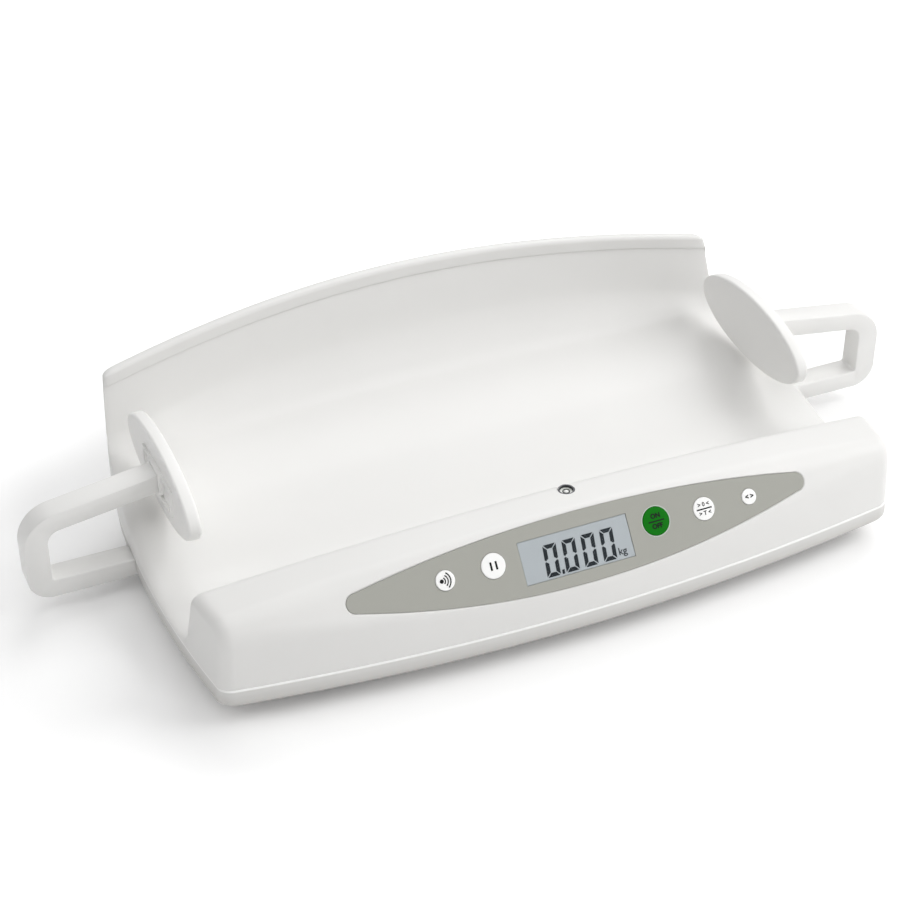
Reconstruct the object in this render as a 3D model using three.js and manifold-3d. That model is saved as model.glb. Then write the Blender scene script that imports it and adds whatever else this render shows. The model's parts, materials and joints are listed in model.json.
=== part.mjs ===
// Digital baby weighing scale with a lying tray, a sloping key panel and two measuring slides.
// Millimetres, +Z up, +X along the tray, -Y towards the person at the keys.
// Inside the assembly, y counts from the shell's front corners and z from the seam of the two shells.
import * as THREE from 'three';
import { mergeVertices } from 'three/addons/utils/BufferGeometryUtils.js';
import Module from 'manifold-3d';

const wasm = await Module();
wasm.setup();

// Clearance between pieces, and how far a cutting tool runs past what it cuts
const gap = 0.3;
const overrun = 12;
const weldDistance = 1e-4;

// Both shells in plan
const halfLength = 306;
const frontBow = 24.2;
const backBow = 34;
const endBow = 13;
const endBowReach = 150;
const endDraft = 0.06;
const endTuck = 12;
const endRadius = 10;

// Rim and back wall
const rimBack = 323;
const rimHeight = 92;
const rimCrown = 20;
const rimDepth = 11.5;
const rimBand = 11;
const rimProud = 1.3;
const rimRadius = 4;
const bandLean = 1;
const bandStep = 1;
const backWallLean = 1.5;
const backWallDrop = 21;
const backWallRadius = 20;
const scoopSetIn = 61;
const scoopRun = 24;
const scoopRise = 0.42;
const scoopRadius = 40;

// Tray: a fold under the back wall, a long flat and the trough behind the console
const foldSetIn = 25.5;
const foldBow = 24;
const foldHeight = 29;
const foldRadius = 16;
const foldRadiusRise = 48;
const trayMidY = 205;
const trayMidHeight = 22.5;
const trayRadius = 90;
const troughBack = 128;
const troughFront = 62;
const troughBow = 2;
const troughFloor = 3.5;
const troughRadius = 18;

// Console
const frontEdge = 46;
const frontEdgeDrop = 19;
const edgeDropPower = 2.5;
const edgeRadius = 10;
const edgeRadiusEnds = 16;
const consoleTop = 58.5;
const consoleCrown = 15.5;
const consoleRadius = 10;
const consoleRadiusEnds = 36;
const consoleBack = 55;
const consoleBackBow = 3;
const consoleDip = 1.5;
const consoleDipBow = 2.5;
const consoleInnerRadius = 11;
const panelSlope = THREE.MathUtils.degToRad(52);

// Bottom shell
const baseDepth = 26;
const baseStrip = 14;
const baseTuck = 10;
const baseLip = 1.2;
const baseLipRadius = 1;
const baseStripRadius = 14;
const baseLowRadius = 6;
const baseBackRadius = 4;
const baseRise = 0.5;
const footHeight = 10;

// Walls, bosses and screws
const wall = 3.2;
const baseWall = 3;
const hollowSetBack = 9;
const bossRadius = 4.5;
const bossOverlap = 2;
const screwRadius = 1.5;
const screwLength = 12;
const screwHeadRadius = 3.2;
const screwHeadDepth = 1.3;
const screwInset = 44;
const screwFront = 42;
const screwMiddle = 120;
const screwRear = 150;
const screwBack = 222;
const screwX = halfLength - screwInset;
const screwPlaces = [
  [-screwX, screwFront], [screwX, screwFront], [0, screwMiddle],
  [-screwX, screwRear], [screwX, screwRear], [0, screwBack],
];

// Slides: the left one stands a little further in, as it was photographed
const slideIn = { left: 5.5, right: 0 };
const armY = 196;
const armWidth = 22;
const armHeight = 16.6;
const armLow = -12.3;
const armBevel = 1.2;
const handleReach = 92;
const armInside = 196;
const armOuter = halfLength + handleReach;
const armInnerEnd = halfLength - armInside;
const handleTop = 55.5;
const handleRise = 0.15;
const handleUpright = 20;
const handleTopRadius = 32;
const handleLowRadius = 20;
const windowTopRadius = 12;
const windowLowRadius = 2;
const slotDepth = 40;
const slotInset = 6;

// Stops at the inner ends of the upper arms
const discSetIn = 36;
const discInner = halfLength - discSetIn;
const discThickness = 11;
const discY = 201.5;
const discZ = 60.3;
const discHalfDepth = 83;
const discHalfHeight = 31.3;
const discEdge = 3;
const ribHalfDepth = 52;
const ribHalfHeight = 20;
const ribProud = 2.2;
const ribWidth = 2.5;
const collarMargin = 2;
const collarProud = 4;
const collarRoot = 1;

// Guides and length gauges of the slides
const guideSetIn = 18;
const guideOuter = halfLength - guideSetIn;
const guideStart = 10;
const guideInner = armInnerEnd + guideStart;
const guideClear = 0.4;
const guideWall = 1.6;
const lipReach = 5;
const stripWidth = 9;
const stripThickness = 0.8;
const stripInset = 4;
const readerInset = 10;
const readerLength = 35;
const readerWidth = 22;
const boardThickness = 1.6;

// Panel, in its own plane: x along the tray, s up the slope
const panelX = 5;
const panelReach = 190;
const panelLow = 0.5;
const panelLowRise = 25;
const panelHigh = 57.4;
const panelHighDrop = 16.6;
const panelThickness = 1;
const windowMargin = 3;
const windowDepth = 1.4;
const displaySetLeft = 7.5;
const displayX = panelX - displaySetLeft;
const displayS = 27.8;
const displayLengthShare = 0.4947;
const displayLength = displayLengthShare * panelReach;
const displayHeight = 34.4;
const displayMargin = 2;
const displayThickness = 5;

// Keys: their places along the panel are shares of its reach
const keyProud = 1.2;
const keyTravel = 0.8;
const keyFlange = 1.8;
const flangeTop = 4.2;
const flangeThickness = 1.4;
const stemRadius = 2;
const stemLength = 1;
const switchHalf = 3;
const switchHeight = 3.6;
const plungerRadius = 1.7;
const keys = [
  { name: 'on_off', reachShare: 0.3321, s: 32.7, radius: 11.4, colour: 0x0d8a2a },
  { name: 'zero_tare', reachShare: 0.5568, s: 31.9, radius: 9.3, colour: 0xf2f2f0 },
  { name: 'length_weight', reachShare: 0.7721, s: 31.6, radius: 6.4, colour: 0xf2f2f0 },
  { name: 'hold', reachShare: -0.4074, s: 32.9, radius: 10, colour: 0xf2f2f0 },
  { name: 'sound', reachShare: -0.6195, s: 32, radius: 7.9, colour: 0xf2f2f0 },
].map((key) => ({ ...key, x: panelX + panelReach * key.reachShare }));

// Main board behind the panel, on four posts of the top shell
const boardShare = 1.526;
const boardSetRight = 14;
const boardX = panelX + boardSetRight;
const boardLength = boardShare * panelReach;
const boardHeight = 40;
const boardS = 32;
const boardTop = -12;
const postRadius = 3;
const postInsetX = 7;
const postInsetS = 6;
const buzzerRadius = 8;
const buzzerDepth = 5;
const buzzerShare = 0.393;
const buzzerX = boardX - buzzerShare * boardLength;

// Level
const levelX = 10.5;
const levelY = 39.5;
const levelRadius = 6.7;
const levelDepth = 9;
const levelLift = 0.4;
const levelWall = 1;
const levelFloor = 1.5;
const levelSink = 1.5;

// Feet
const footInset = 71;
const footX = halfLength - footInset;
const footFront = 42;
const footRear = 188;
const cupRadius = 23;
const cupWall = 1.8;
const cupDepth = 5.6;
const cupRoof = 1.5;
const cellSize = 28;
const cellThickness = 2.4;
const studRadius = 3;
const studSetIn = 0.4;
const padRadius = 15;
const padOverlap = 0.5;
const feet = [
  { name: 'front_left', x: -footX, y: footFront },
  { name: 'front_right', x: footX, y: footFront },
  { name: 'rear_left', x: -footX, y: footRear },
  { name: 'rear_right', x: footX, y: footRear },
];

// Battery bay between the front feet, for four AA cells
const cellRadius = 7.25;
const cellLength = 50.5;
const cellPitchRoom = 0.8;
const cellPitch = cellRadius + cellPitchRoom;
const nubRadius = 2.7;
const nubLength = 1.2;
const contactThickness = 0.8;
const contactHeight = 12;
const contactMargin = 5;
const bayEndRoom = 5.8;
const baySideRoom = 3.7;
const bayMargin = 6;
const bayLength = 2 * (cellLength + 3 * gap + contactThickness + bayEndRoom);
const bayDepth = 2 * (cellPitch + cellRadius + baySideRoom);
const bayX = bayLength / 2 + cupRadius + bayMargin - footX;
const bayY = 25;
const boxHeight = 21;
const boxWall = 1.4;
const coverThickness = 1.7;
const railWall = 2;
const railDrop = 4.4;
const railRoot = 0.6;
const railLip = 2.2;
const railLipDepth = 1.4;
const gripWidth = 1.2;
const gripLength = 20;
const gripDepth = 0.6;
const gripPitch = 3;
const gripInset = 14;
const gripCount = 4;

// Materials, each with its colour, roughness and metalness
function material(colour, roughness, metalness = 0) {
  return new THREE.MeshStandardMaterial({ color: colour, roughness, metalness });
}
const shellWhite = material(0xecebe7, 0.35);
const slideWhite = material(0xeeedea, 0.35);
const panelGrey = material(0xb1b1a9, 0.45);
const displayGlass = material(0xc6cdd0, 0.12);
const displayBody = material(0xa9b0b2, 0.4);
const boardGreen = material(0x1f5c38, 0.55);
const blackPlastic = material(0x1c1c1e, 0.5);
const steel = material(0xb4b6b8, 0.3, 1);
const darkRubber = material(0x3a3b3d, 0.85);
const greyPlastic = material(0x8d9092, 0.5);
const copperStrip = material(0xb8763a, 0.35, 1);
const cellSkin = material(0x35506b, 0.4, 0.4);
const levelFluid = material(0xc9d79a, 0.1);

// The assembly's frame, and the frame of the sloping panel inside it
const assembly = new THREE.Group();
assembly.name = 'baby_scale';
assembly.position.set(
  (slideIn.right - slideIn.left) / 2,
  -(rimBack + backBow - frontBow - baseLip) / 2,
  baseDepth + footHeight,
);
const panelFrame = new THREE.Group();
panelFrame.position.set(0, -frontBow, frontEdge - frontEdgeDrop);
panelFrame.rotation.x = panelSlope;
panelFrame.updateMatrix();
assembly.add(panelFrame);

// Solids: closed geometry in, closed geometry out
function solid(geometry) {
  const bare = new THREE.BufferGeometry();
  bare.setAttribute('position', geometry.getAttribute('position').clone());
  if (geometry.index) bare.setIndex(geometry.index.clone());
  const merged = mergeVertices(bare, weldDistance);
  return new wasm.Manifold(new wasm.Mesh({
    numProp: 3,
    vertProperties: new Float32Array(merged.getAttribute('position').array),
    triVerts: new Uint32Array(merged.index.array),
  }));
}

function geometryOf(manifold) {
  const mesh = manifold.getMesh();
  const geometry = new THREE.BufferGeometry();
  geometry.setAttribute('position', new THREE.BufferAttribute(new Float32Array(mesh.vertProperties), 3));
  geometry.setIndex(new THREE.BufferAttribute(new Uint32Array(mesh.triVerts), 1));
  geometry.computeVertexNormals();
  return geometry;
}

function joined(...geometries) {
  return geometryOf(geometries.map(solid).reduce((sum, next) => sum.add(next)));
}

function cut(geometry, ...tools) {
  return geometryOf(tools.map(solid).reduce((body, tool) => body.subtract(tool), solid(geometry)));
}

// Turns every face over, for a mirrored geometry
function flip(geometry) {
  const order = geometry.index.array;
  for (let i = 0; i < order.length; i += 3) [order[i], order[i + 1]] = [order[i + 1], order[i]];
  return geometry;
}

function mirrored(geometry) {
  return flip(geometryOf(solid(geometry)).scale(-1, 1, 1));
}

function piece(name, geometry, look, parent = assembly) {
  const mesh = new THREE.Mesh(geometry, look);
  mesh.name = name;
  parent.add(mesh);
  return mesh;
}

// Simple solids, placed by their centre or by their limits
function box(sizeX, sizeY, sizeZ, x, y, z) {
  return new THREE.BoxGeometry(sizeX, sizeY, sizeZ).translate(x, y, z);
}

function boxBetween([x0, x1], [y0, y1], [z0, z1]) {
  return box(x1 - x0, y1 - y0, z1 - z0, (x0 + x1) / 2, (y0 + y1) / 2, (z0 + z1) / 2);
}

function around(middle, half) {
  return [middle - half, middle + half];
}

function disc(radius, x, y, z0, z1, sides = 24) {
  const body = new THREE.CylinderGeometry(radius, radius, z1 - z0, sides);
  return body.rotateX(Math.PI / 2).translate(x, y, (z0 + z1) / 2);
}

function plate(shape, z0, z1, curveSegments = 8) {
  const body = new THREE.ExtrudeGeometry(shape, { depth: z1 - z0, bevelEnabled: false, curveSegments });
  return body.translate(0, 0, z0);
}

function shapeOf(points) {
  return new THREE.Shape(points.map(([a, b]) => new THREE.Vector2(a, b)));
}

// Turns a shape drawn in y and z into a bar along x
function alongX(shape, [x0, x1]) {
  return plate(shape, 0, x1 - x0).rotateX(Math.PI / 2).rotateZ(Math.PI / 2).translate(x0, 0, 0);
}

function inPanel(geometry) {
  return geometry.applyMatrix4(panelFrame.matrix);
}

// An outline is a ring of corners { y, z, r, steps, parts, fixed, lift }, seen with y to the right and z up,
// counter-clockwise: steps rounds the corner, parts divides the edge after it, a fixed edge doesn't
// move when the outline is inset, and lift is the corner's share of the rounding at the end walls.
function direction(from, to) {
  const length = Math.hypot(to.y - from.y, to.z - from.z);
  return { y: (to.y - from.y) / length, z: (to.z - from.z) / length };
}

const leastRadius = 1;
function insetCorners(corners, inset, rounding = 0) {
  return corners.map((corner, k) => {
    const before = corners[(k + corners.length - 1) % corners.length];
    const after = corners[(k + 1) % corners.length];
    const a = direction(before, corner);
    const b = direction(corner, after);
    const move = inset + rounding * (corner.lift ?? 1);
    const moveA = before.fixed ? 0 : move;
    const moveB = corner.fixed ? 0 : move;
    const cross = a.y * b.z - a.z * b.y;
    const shiftY = (moveA * b.y - moveB * a.y) / cross;
    const shiftZ = (moveA * b.z - moveB * a.z) / cross;
    const radius = corner.r + (cross > 0 ? -move : move);
    return {
      ...corner,
      y: corner.y + shiftY,
      z: corner.z + shiftZ,
      r: corner.r ? Math.max(radius, leastRadius) : 0,
    };
  });
}

const roomShare = 0.47;
function roundedPoints(corners) {
  const points = [];
  corners.forEach((corner, k) => {
    const before = corners[(k + corners.length - 1) % corners.length];
    const after = corners[(k + 1) % corners.length];
    const a = direction(before, corner);
    const b = direction(corner, after);
    const turn = Math.atan2(a.y * b.z - a.z * b.y, a.y * b.y + a.z * b.z);
    const steps = corner.r ? corner.steps : 0;
    if (!steps) {
      points.push([corner.y, corner.z]);
    } else {
      const room = roomShare * Math.min(
        Math.hypot(corner.y - before.y, corner.z - before.z),
        Math.hypot(after.y - corner.y, after.z - corner.z),
      );
      const reach = Math.min(corner.r * Math.tan(Math.abs(turn) / 2), room);
      const radius = reach / Math.tan(turn / 2);
      const centre = { y: corner.y - a.y * reach - a.z * radius, z: corner.z - a.z * reach + a.y * radius };
      for (let i = 0; i <= steps; i += 1) {
        const angle = turn * (i / steps);
        const armAlongY = a.z * radius;
        const armAlongZ = -a.y * radius;
        points.push([
          centre.y + armAlongY * Math.cos(angle) - armAlongZ * Math.sin(angle),
          centre.z + armAlongY * Math.sin(angle) + armAlongZ * Math.cos(angle),
        ]);
      }
    }
    corner.last = points.length - 1;
  });
  return divideEdges(corners, points);
}

// Divided edges keep straight lines, but give the end walls enough points to bow
function divideEdges(corners, points) {
  const full = [];
  let corner = 0;
  points.forEach((point, k) => {
    full.push(point);
    if (k === corners[corner].last) {
      const next = points[(k + 1) % points.length];
      const parts = corners[corner].parts ?? 1;
      for (let i = 1; i < parts; i += 1) {
        full.push([
          point[0] + (next[0] - point[0]) * (i / parts),
          point[1] + (next[1] - point[1]) * (i / parts),
        ]);
      }
      corner += 1;
    }
  });
  return full;
}

// The end walls bow out in plan, lean in with height and tuck in under the strip
function endX(y, z) {
  const bow = endBow * ((y - endBowReach) / endBowReach) ** 2;
  const tuck = z < -baseStrip ? endTuck * ((-baseStrip - z) / (baseDepth - baseStrip)) : 0;
  return halfLength - bow - endDraft * z - tuck;
}

// A hull lofts an outline along x from one end wall to the other, with rounded ends
function hull(outlineAt, { shorter = 0, radius = endRadius, stations = 14, endSteps = 3 } = {}) {
  const places = [];
  for (let i = 0; i <= stations; i += 1) places.push({ u: -1 + (2 * i) / stations, angle: 0 });
  if (radius) {
    for (let i = 1; i <= endSteps; i += 1) {
      const angle = (Math.PI / 2) * (i / endSteps);
      places.push({ u: 1, angle });
      places.unshift({ u: -1, angle });
    }
  }
  const rings = places.map(({ u, angle }) => {
    const nominal = halfLength - shorter;
    const reach = Math.abs(u) * (nominal - radius) + radius * Math.sin(angle);
    const bowShare = Math.max(0, 1 - (reach / halfLength) ** 2);
    const corners = insetCorners(outlineAt(bowShare), 0, radius * (1 - Math.cos(angle)));
    return roundedPoints(corners).map(([y, z]) => {
      const end = endX(y, z) - shorter;
      const x = Math.abs(u) * (end - radius) + radius * Math.sin(angle);
      return [Math.sign(u) * x, y, z];
    });
  });
  return skin(rings);
}

// A skin joins the rings and closes both ends with strips between the lower and the upper run
function skin(rings) {
  const count = rings[0].length;
  const triangles = [];
  for (let i = 0; i + 1 < rings.length; i += 1) {
    for (let j = 0; j < count; j += 1) {
      const k = (j + 1) % count;
      const a = i * count + j;
      const b = i * count + k;
      const c = (i + 1) * count + k;
      const d = (i + 1) * count + j;
      triangles.push(a, b, c, a, c, d);
    }
  }
  const last = (rings.length - 1) * count;
  const flat = (ring) => ring.map(([, y, z]) => [y, z]);
  endStrip(flat(rings[0])).forEach(([a, b, c]) => triangles.push(a, b, c));
  endStrip(flat(rings[rings.length - 1])).forEach(([a, b, c]) => triangles.push(last + a, last + c, last + b));
  const geometry = new THREE.BufferGeometry();
  geometry.setAttribute('position', new THREE.Float32BufferAttribute(rings.flat(2), 3));
  geometry.setIndex(triangles);
  return geometry;
}

function endStrip(ring) {
  const count = ring.length;
  const depths = ring.map(([y]) => y);
  const back = depths.indexOf(Math.max(...depths));
  const front = depths.indexOf(Math.min(...depths));
  const at = (k) => ((k % count) + count) % count;
  const triangles = [];
  let low = front;
  let high = front + count;
  const end = back < front ? back + count : back;
  while (low < end || high > end) {
    const takeLow = high === end || (low < end && depths[at(low + 1)] <= depths[at(high - 1)]);
    const next = takeLow ? low + 1 : high - 1;
    const corner = [at(low), at(high), at(next)];
    if (new Set(corner).size === 3) triangles.push(corner);
    if (takeLow) low = next;
    else high = next;
  }
  return triangles;
}

// The tray and console in section. The share is 1 at mid-length and 0 at the end walls.
function topOutline(share) {
  const frontY = -frontBow * share;
  const edgeZ = frontEdge - frontEdgeDrop * share ** edgeDropPower;
  const topZ = consoleTop + consoleCrown * share;
  const topY = frontY + (topZ - edgeZ) / Math.tan(panelSlope);
  const bow = backBow * share;
  const rimZ = rimHeight + rimCrown * share;
  const rimY = rimBack + bow;
  const bandY = rimY - rimDepth - bandLean;
  const bandZ = rimZ - rimBand;
  const foldY = rimBack - foldSetIn + foldBow * share;
  const foldR = foldRadius + foldRadiusRise * share;
  const scoopY = rimBack - scoopSetIn + bow;
  const innerZ = consoleTop - consoleDip + (consoleCrown - consoleDipBow) * share;
  const topR = consoleRadius + consoleRadiusEnds * (1 - share);
  const edgeR = edgeRadius + edgeRadiusEnds * (1 - share);
  return [
    { y: frontY, z: gap / 2, r: 0, parts: 12, fixed: true, lift: 0.8 },
    { y: scoopY, z: gap / 2, r: 0, parts: 2, lift: 0.3 },
    { y: scoopY + scoopRun, z: scoopRun * scoopRise, r: scoopRadius, steps: 2, parts: 3, lift: 0.1 },
    { y: rimY - backWallLean, z: rimZ - backWallDrop, r: backWallRadius, steps: 2, lift: 0.3 },
    { y: rimY, z: rimZ, r: rimRadius, steps: 3, lift: 0.4 },
    { y: rimY - rimDepth, z: rimZ, r: rimRadius, steps: 3, lift: 0.4 },
    { y: bandY, z: bandZ, r: 0, lift: 0.1 },
    { y: bandY + rimProud, z: bandZ - bandStep, r: 0, parts: 2, lift: 0.1 },
    { y: foldY, z: foldHeight, r: foldR, steps: 6, parts: 3, lift: 0.12 },
    { y: trayMidY, z: trayMidHeight, r: trayRadius, steps: 3, parts: 3, lift: 0.7 },
    { y: troughBack, z: troughFloor, r: trayRadius, steps: 3, parts: 2, lift: 1.1 },
    { y: troughFront - troughBow * share, z: troughFloor, r: troughRadius, steps: 5 },
    { y: consoleBack - consoleBackBow * share, z: innerZ, r: consoleInnerRadius, steps: 4, parts: 2, lift: 0.8 },
    { y: topY, z: topZ, r: topR, steps: 3, lift: 0.8 },
    { y: frontY, z: edgeZ, r: edgeR, steps: 3, lift: 0.8 },
  ];
}
const foldIndex = 8;
const trayIndex = 9;
const troughIndex = 11;
const innerIndex = 12;
const topIndex = 13;
const edgeIndex = 14;

// The space under the tray and in the console
function topHollow(share) {
  const outer = insetCorners(topOutline(share), wall);
  const floor = outer[trayIndex];
  const floorBack = outer[foldIndex];
  const slope = (floorBack.z - floor.z) / (floorBack.y - floor.y);
  const backY = rimBack - scoopSetIn - hollowSetBack + backBow * share;
  return [
    { y: outer[edgeIndex].y, z: -baseDepth, r: 0, parts: 6, fixed: true },
    { y: backY, z: -baseDepth, r: 0 },
    { y: backY, z: floor.z + slope * (backY - floor.y), r: 0 },
    { ...floor, steps: 2, parts: 1 },
    { ...outer[trayIndex + 1], steps: 2, parts: 1 },
    { ...outer[troughIndex], steps: 3 },
    { ...outer[innerIndex], steps: 2, parts: 1 },
    { ...outer[topIndex], steps: 2 },
    { ...outer[edgeIndex], steps: 2 },
  ];
}

// The bottom shell in section: a shallow pan with a thin lip in front, whose back rises with the scoop
function baseOutline(share) {
  const frontY = -frontBow * share;
  const scoopY = rimBack - scoopSetIn + backBow * share;
  return [
    { y: frontY + baseTuck, z: -baseDepth, r: baseLowRadius, steps: 2, parts: 8 },
    { y: scoopY - baseDepth / baseRise, z: -baseDepth, r: baseBackRadius, steps: 2, parts: 2 },
    { y: scoopY, z: -gap / 2, r: 0, parts: 10, fixed: true, lift: 0.3 },
    { y: frontY - baseLip, z: -gap / 2, r: baseLipRadius, steps: 2, lift: 0.8 },
    { y: frontY - baseLip, z: -baseStrip, r: baseStripRadius, steps: 3, lift: 0.8 },
  ];
}

function baseHollow(share) {
  const [low, back, seamBack, seamFront, strip] = insetCorners(baseOutline(share), baseWall + baseLip);
  const rise = (seamBack.z - back.z) / (seamBack.y - back.y);
  const floorZ = -baseDepth + baseWall;
  return [
    { ...low, z: floorZ, parts: 1, steps: 1 },
    { ...back, z: floorZ, parts: 1, steps: 1 },
    { y: seamBack.y + baseDepth / rise, z: seamBack.z + baseDepth, r: 0, fixed: true },
    { ...seamFront, z: seamFront.z + baseDepth, r: 0 },
    { ...strip, steps: 1 },
  ];
}

// The panel's outline: two flat arcs that meet in small round ends
function lens(inset = 0) {
  const steps = 14;
  const tipSteps = 5;
  const points = [];
  const low = (t) => panelLow + inset + panelLowRise * t * t;
  const high = (t) => panelHigh - inset - panelHighDrop * t * t;
  const tipS = (low(1) + high(1)) / 2;
  const tipRadius = (high(1) - low(1)) / 2;
  for (const side of [1, -1]) {
    for (let i = 0; i <= steps; i += 1) {
      const t = side * (-1 + (2 * i) / steps);
      points.push([panelX + panelReach * t, side > 0 ? low(t) : high(t)]);
    }
    for (let i = 1; i < tipSteps; i += 1) {
      const angle = -Math.PI / 2 + (Math.PI * i) / tipSteps;
      points.push([
        panelX + side * (panelReach + tipRadius * Math.cos(angle)),
        tipS + side * tipRadius * Math.sin(angle),
      ]);
    }
  }
  return shapeOf(points);
}

// The level stands in the console's top, level with the surface round it
const levelOutline = topOutline(1 - (levelX / halfLength) ** 2);
const levelFront = levelOutline[topIndex];
const levelBack = levelOutline[innerIndex];
const levelShare = (levelY - levelFront.y) / (levelBack.y - levelFront.y);
const levelTop = THREE.MathUtils.lerp(levelFront.z, levelBack.z, levelShare) + levelLift;

// Top shell: one moulding of console, tray, back wall and end skirts, with bosses and board posts inside
const bossBottom = -baseDepth + baseWall + 2 * gap;
const postX = boardLength / 2 - postInsetX;
const postS = boardHeight / 2 - postInsetS;
function topShell() {
  const outer = solid(hull(topOutline));
  let body = outer.subtract(solid(hull(topHollow, { shorter: wall, radius: 0, stations: 12 })));
  for (const [x, y] of screwPlaces) {
    const upper = solid(disc(bossRadius, x, y, 0, 2 * rimHeight, 12)).intersect(outer);
    const lower = solid(disc(bossRadius, x, y, bossBottom, bossOverlap, 12));
    const hole = solid(disc(screwRadius + gap, x, y, bossBottom - overrun, bossBottom + screwLength, 10));
    body = body.add(upper).add(lower).subtract(hole);
  }
  for (const sideX of [-1, 1]) {
    for (const sideS of [-1, 1]) {
      const post = disc(postRadius, boardX + sideX * postX, boardS + sideS * postS, boardTop + gap, -panelThickness, 8);
      body = body.add(solid(inPanel(post)));
    }
  }
  body = body.subtract(solid(inPanel(plate(lens(-gap), -panelThickness - gap, 2 * overrun))));
  const opening = boxBetween(
    around(displayX, displayLength / 2 + windowMargin),
    around(displayS, displayHeight / 2 + windowMargin),
    [-overrun - displayThickness, 0],
  );
  body = body.subtract(solid(inPanel(opening)));
  for (const key of keys) {
    body = body.subtract(solid(inPanel(disc(key.radius + 2 * gap, key.x, key.s, -overrun, overrun))));
  }
  const seat = disc(levelRadius + gap, levelX, levelY, levelTop - levelDepth, levelTop + overrun);
  return geometryOf(body.subtract(solid(seat)));
}
piece('top_shell', topShell(), shellWhite);

// Bottom shell: the pan, the slots for the slides, the battery opening and its rails
const coverTop = -baseDepth - gap;
const railInner = bayDepth / 2 + gap;
function rail(side) {
  const span = around(bayX, bayLength / 2);
  const web = boxBetween(span, [railInner, railInner + railWall], [-railDrop, railRoot]);
  const lip = boxBetween(span, [railInner - railLip, railInner + railWall], [-railDrop, railLipDepth - railDrop]);
  const both = [web, lip].map((part) => part.scale(1, side, 1));
  if (side < 0) both.forEach((part) => flip(part));
  both.forEach((part) => part.translate(0, bayY, -baseDepth));
  return joined(...both);
}

function bottomShell() {
  let body = solid(hull(baseOutline));
  body = body.subtract(solid(hull(baseHollow, { shorter: baseWall, radius: 0, stations: 12 })));
  for (const side of [-1, 1]) {
    const slot = boxBetween(
      around(side * (halfLength - slotInset), slotDepth / 2),
      around(armY, armWidth / 2 + 2 * gap),
      around(armLow, armHeight / 2 + 2 * gap),
    );
    body = body.subtract(solid(slot));
  }
  body = body.subtract(solid(box(bayLength, bayDepth, overrun, bayX, bayY, -baseDepth)));
  for (const side of [-1, 1]) body = body.add(solid(rail(side)));
  for (const [x, y] of screwPlaces) {
    const recess = -baseDepth + screwHeadDepth + gap;
    body = body.subtract(solid(disc(screwRadius + gap, x, y, -baseDepth - overrun, 0, 10)));
    body = body.subtract(solid(disc(screwHeadRadius + gap, x, y, -baseDepth - overrun, recess, 12)));
  }
  return geometryOf(body);
}
piece('bottom_shell', bottomShell(), shellWhite);

// Screws: pan heads in the counterbores, shanks up into the bosses of the top shell
screwPlaces.forEach(([x, y], index) => {
  const head = disc(screwHeadRadius, x, y, -baseDepth + gap, -baseDepth + screwHeadDepth, 12);
  const shank = disc(screwRadius, x, y, -baseDepth + gap, -baseDepth + screwLength, 8);
  piece(`shell_screw_${index + 1}`, joined(head, shank), steel);
});

// Panel: a thin grey plate in the recess of the console, with its window and five holes
function controlPanel() {
  const opening = box(displayLength, displayHeight, overrun, displayX, displayS, 0);
  const holes = keys.map((key) => disc(key.radius + gap, key.x, key.s, -overrun, overrun, 24));
  return cut(plate(lens(), -panelThickness, 0), opening, ...holes);
}
piece('control_panel', controlPanel(), panelGrey, panelFrame);

const paneSpan = around(displayX, displayLength / 2 - gap);
const paneRise = around(displayS, displayHeight / 2 - gap);
piece('display_window', boxBetween(paneSpan, paneRise, [-windowDepth, 0]), displayGlass, panelFrame);
const displayTop = -windowDepth - gap;
const moduleSpan = around(displayX, displayLength / 2 + displayMargin);
const moduleRise = around(displayS, displayHeight / 2 + displayMargin);
const module = boxBetween(moduleSpan, moduleRise, [displayTop - displayThickness, displayTop]);
piece('display_module', module, displayBody, panelFrame);

// Main board, with a switch under every key and the buzzer at its back
const boardSpan = around(boardX, boardLength / 2);
const board = boxBetween(boardSpan, around(boardS, boardHeight / 2), [boardTop - boardThickness, boardTop]);
piece('main_board', board, boardGreen, panelFrame);
const buzzerTop = boardTop - boardThickness - gap;
const buzzer = disc(buzzerRadius, buzzerX, boardS, buzzerTop - buzzerDepth, buzzerTop, 20);
piece('buzzer', buzzer, blackPlastic, panelFrame);

const flangeBottom = -flangeTop - flangeThickness;
const stemBottom = flangeBottom - stemLength;
for (const key of keys) {
  const cap = disc(key.radius, key.x, key.s, flangeBottom, keyProud, 24);
  const flange = disc(key.radius + keyFlange, key.x, key.s, flangeBottom, -flangeTop, 18);
  const stem = disc(stemRadius, key.x, key.s, stemBottom, flangeBottom + flangeThickness / 2, 12);
  piece(`${key.name}_key`, joined(cap, flange, stem), material(key.colour, 0.4), panelFrame);
  const switchRise = [boardTop + gap, boardTop + switchHeight];
  const switchBody = boxBetween(around(key.x, switchHalf), around(key.s, switchHalf), switchRise);
  const plungerTop = stemBottom - keyTravel - gap;
  const plunger = disc(plungerRadius, key.x, key.s, boardTop + 2 * gap, plungerTop, 12);
  piece(`${key.name}_switch`, joined(switchBody, plunger), blackPlastic, panelFrame);
}

// Level: a metal cup with a round fluid vial sunk in it
const cupFloor = levelTop - levelDepth + levelFloor;
const levelCup = disc(levelRadius, levelX, levelY, levelTop - levelDepth, levelTop);
const levelBore = disc(levelRadius - levelWall, levelX, levelY, cupFloor, levelTop + overrun);
piece('level_housing', cut(levelCup, levelBore), steel);
const vial = disc(levelRadius - levelWall - gap, levelX, levelY, cupFloor + gap, levelTop - levelSink);
piece('level_vial', vial, levelFluid);

// Slides: a rectangular bar bent to a loop outside the end wall, its upper arm rising inwards
const armTop = armLow + armHeight / 2;
const armBottom = armLow - armHeight / 2;
function handleTopAt(x) {
  return handleTop + handleRise * (armOuter - x);
}

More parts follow.
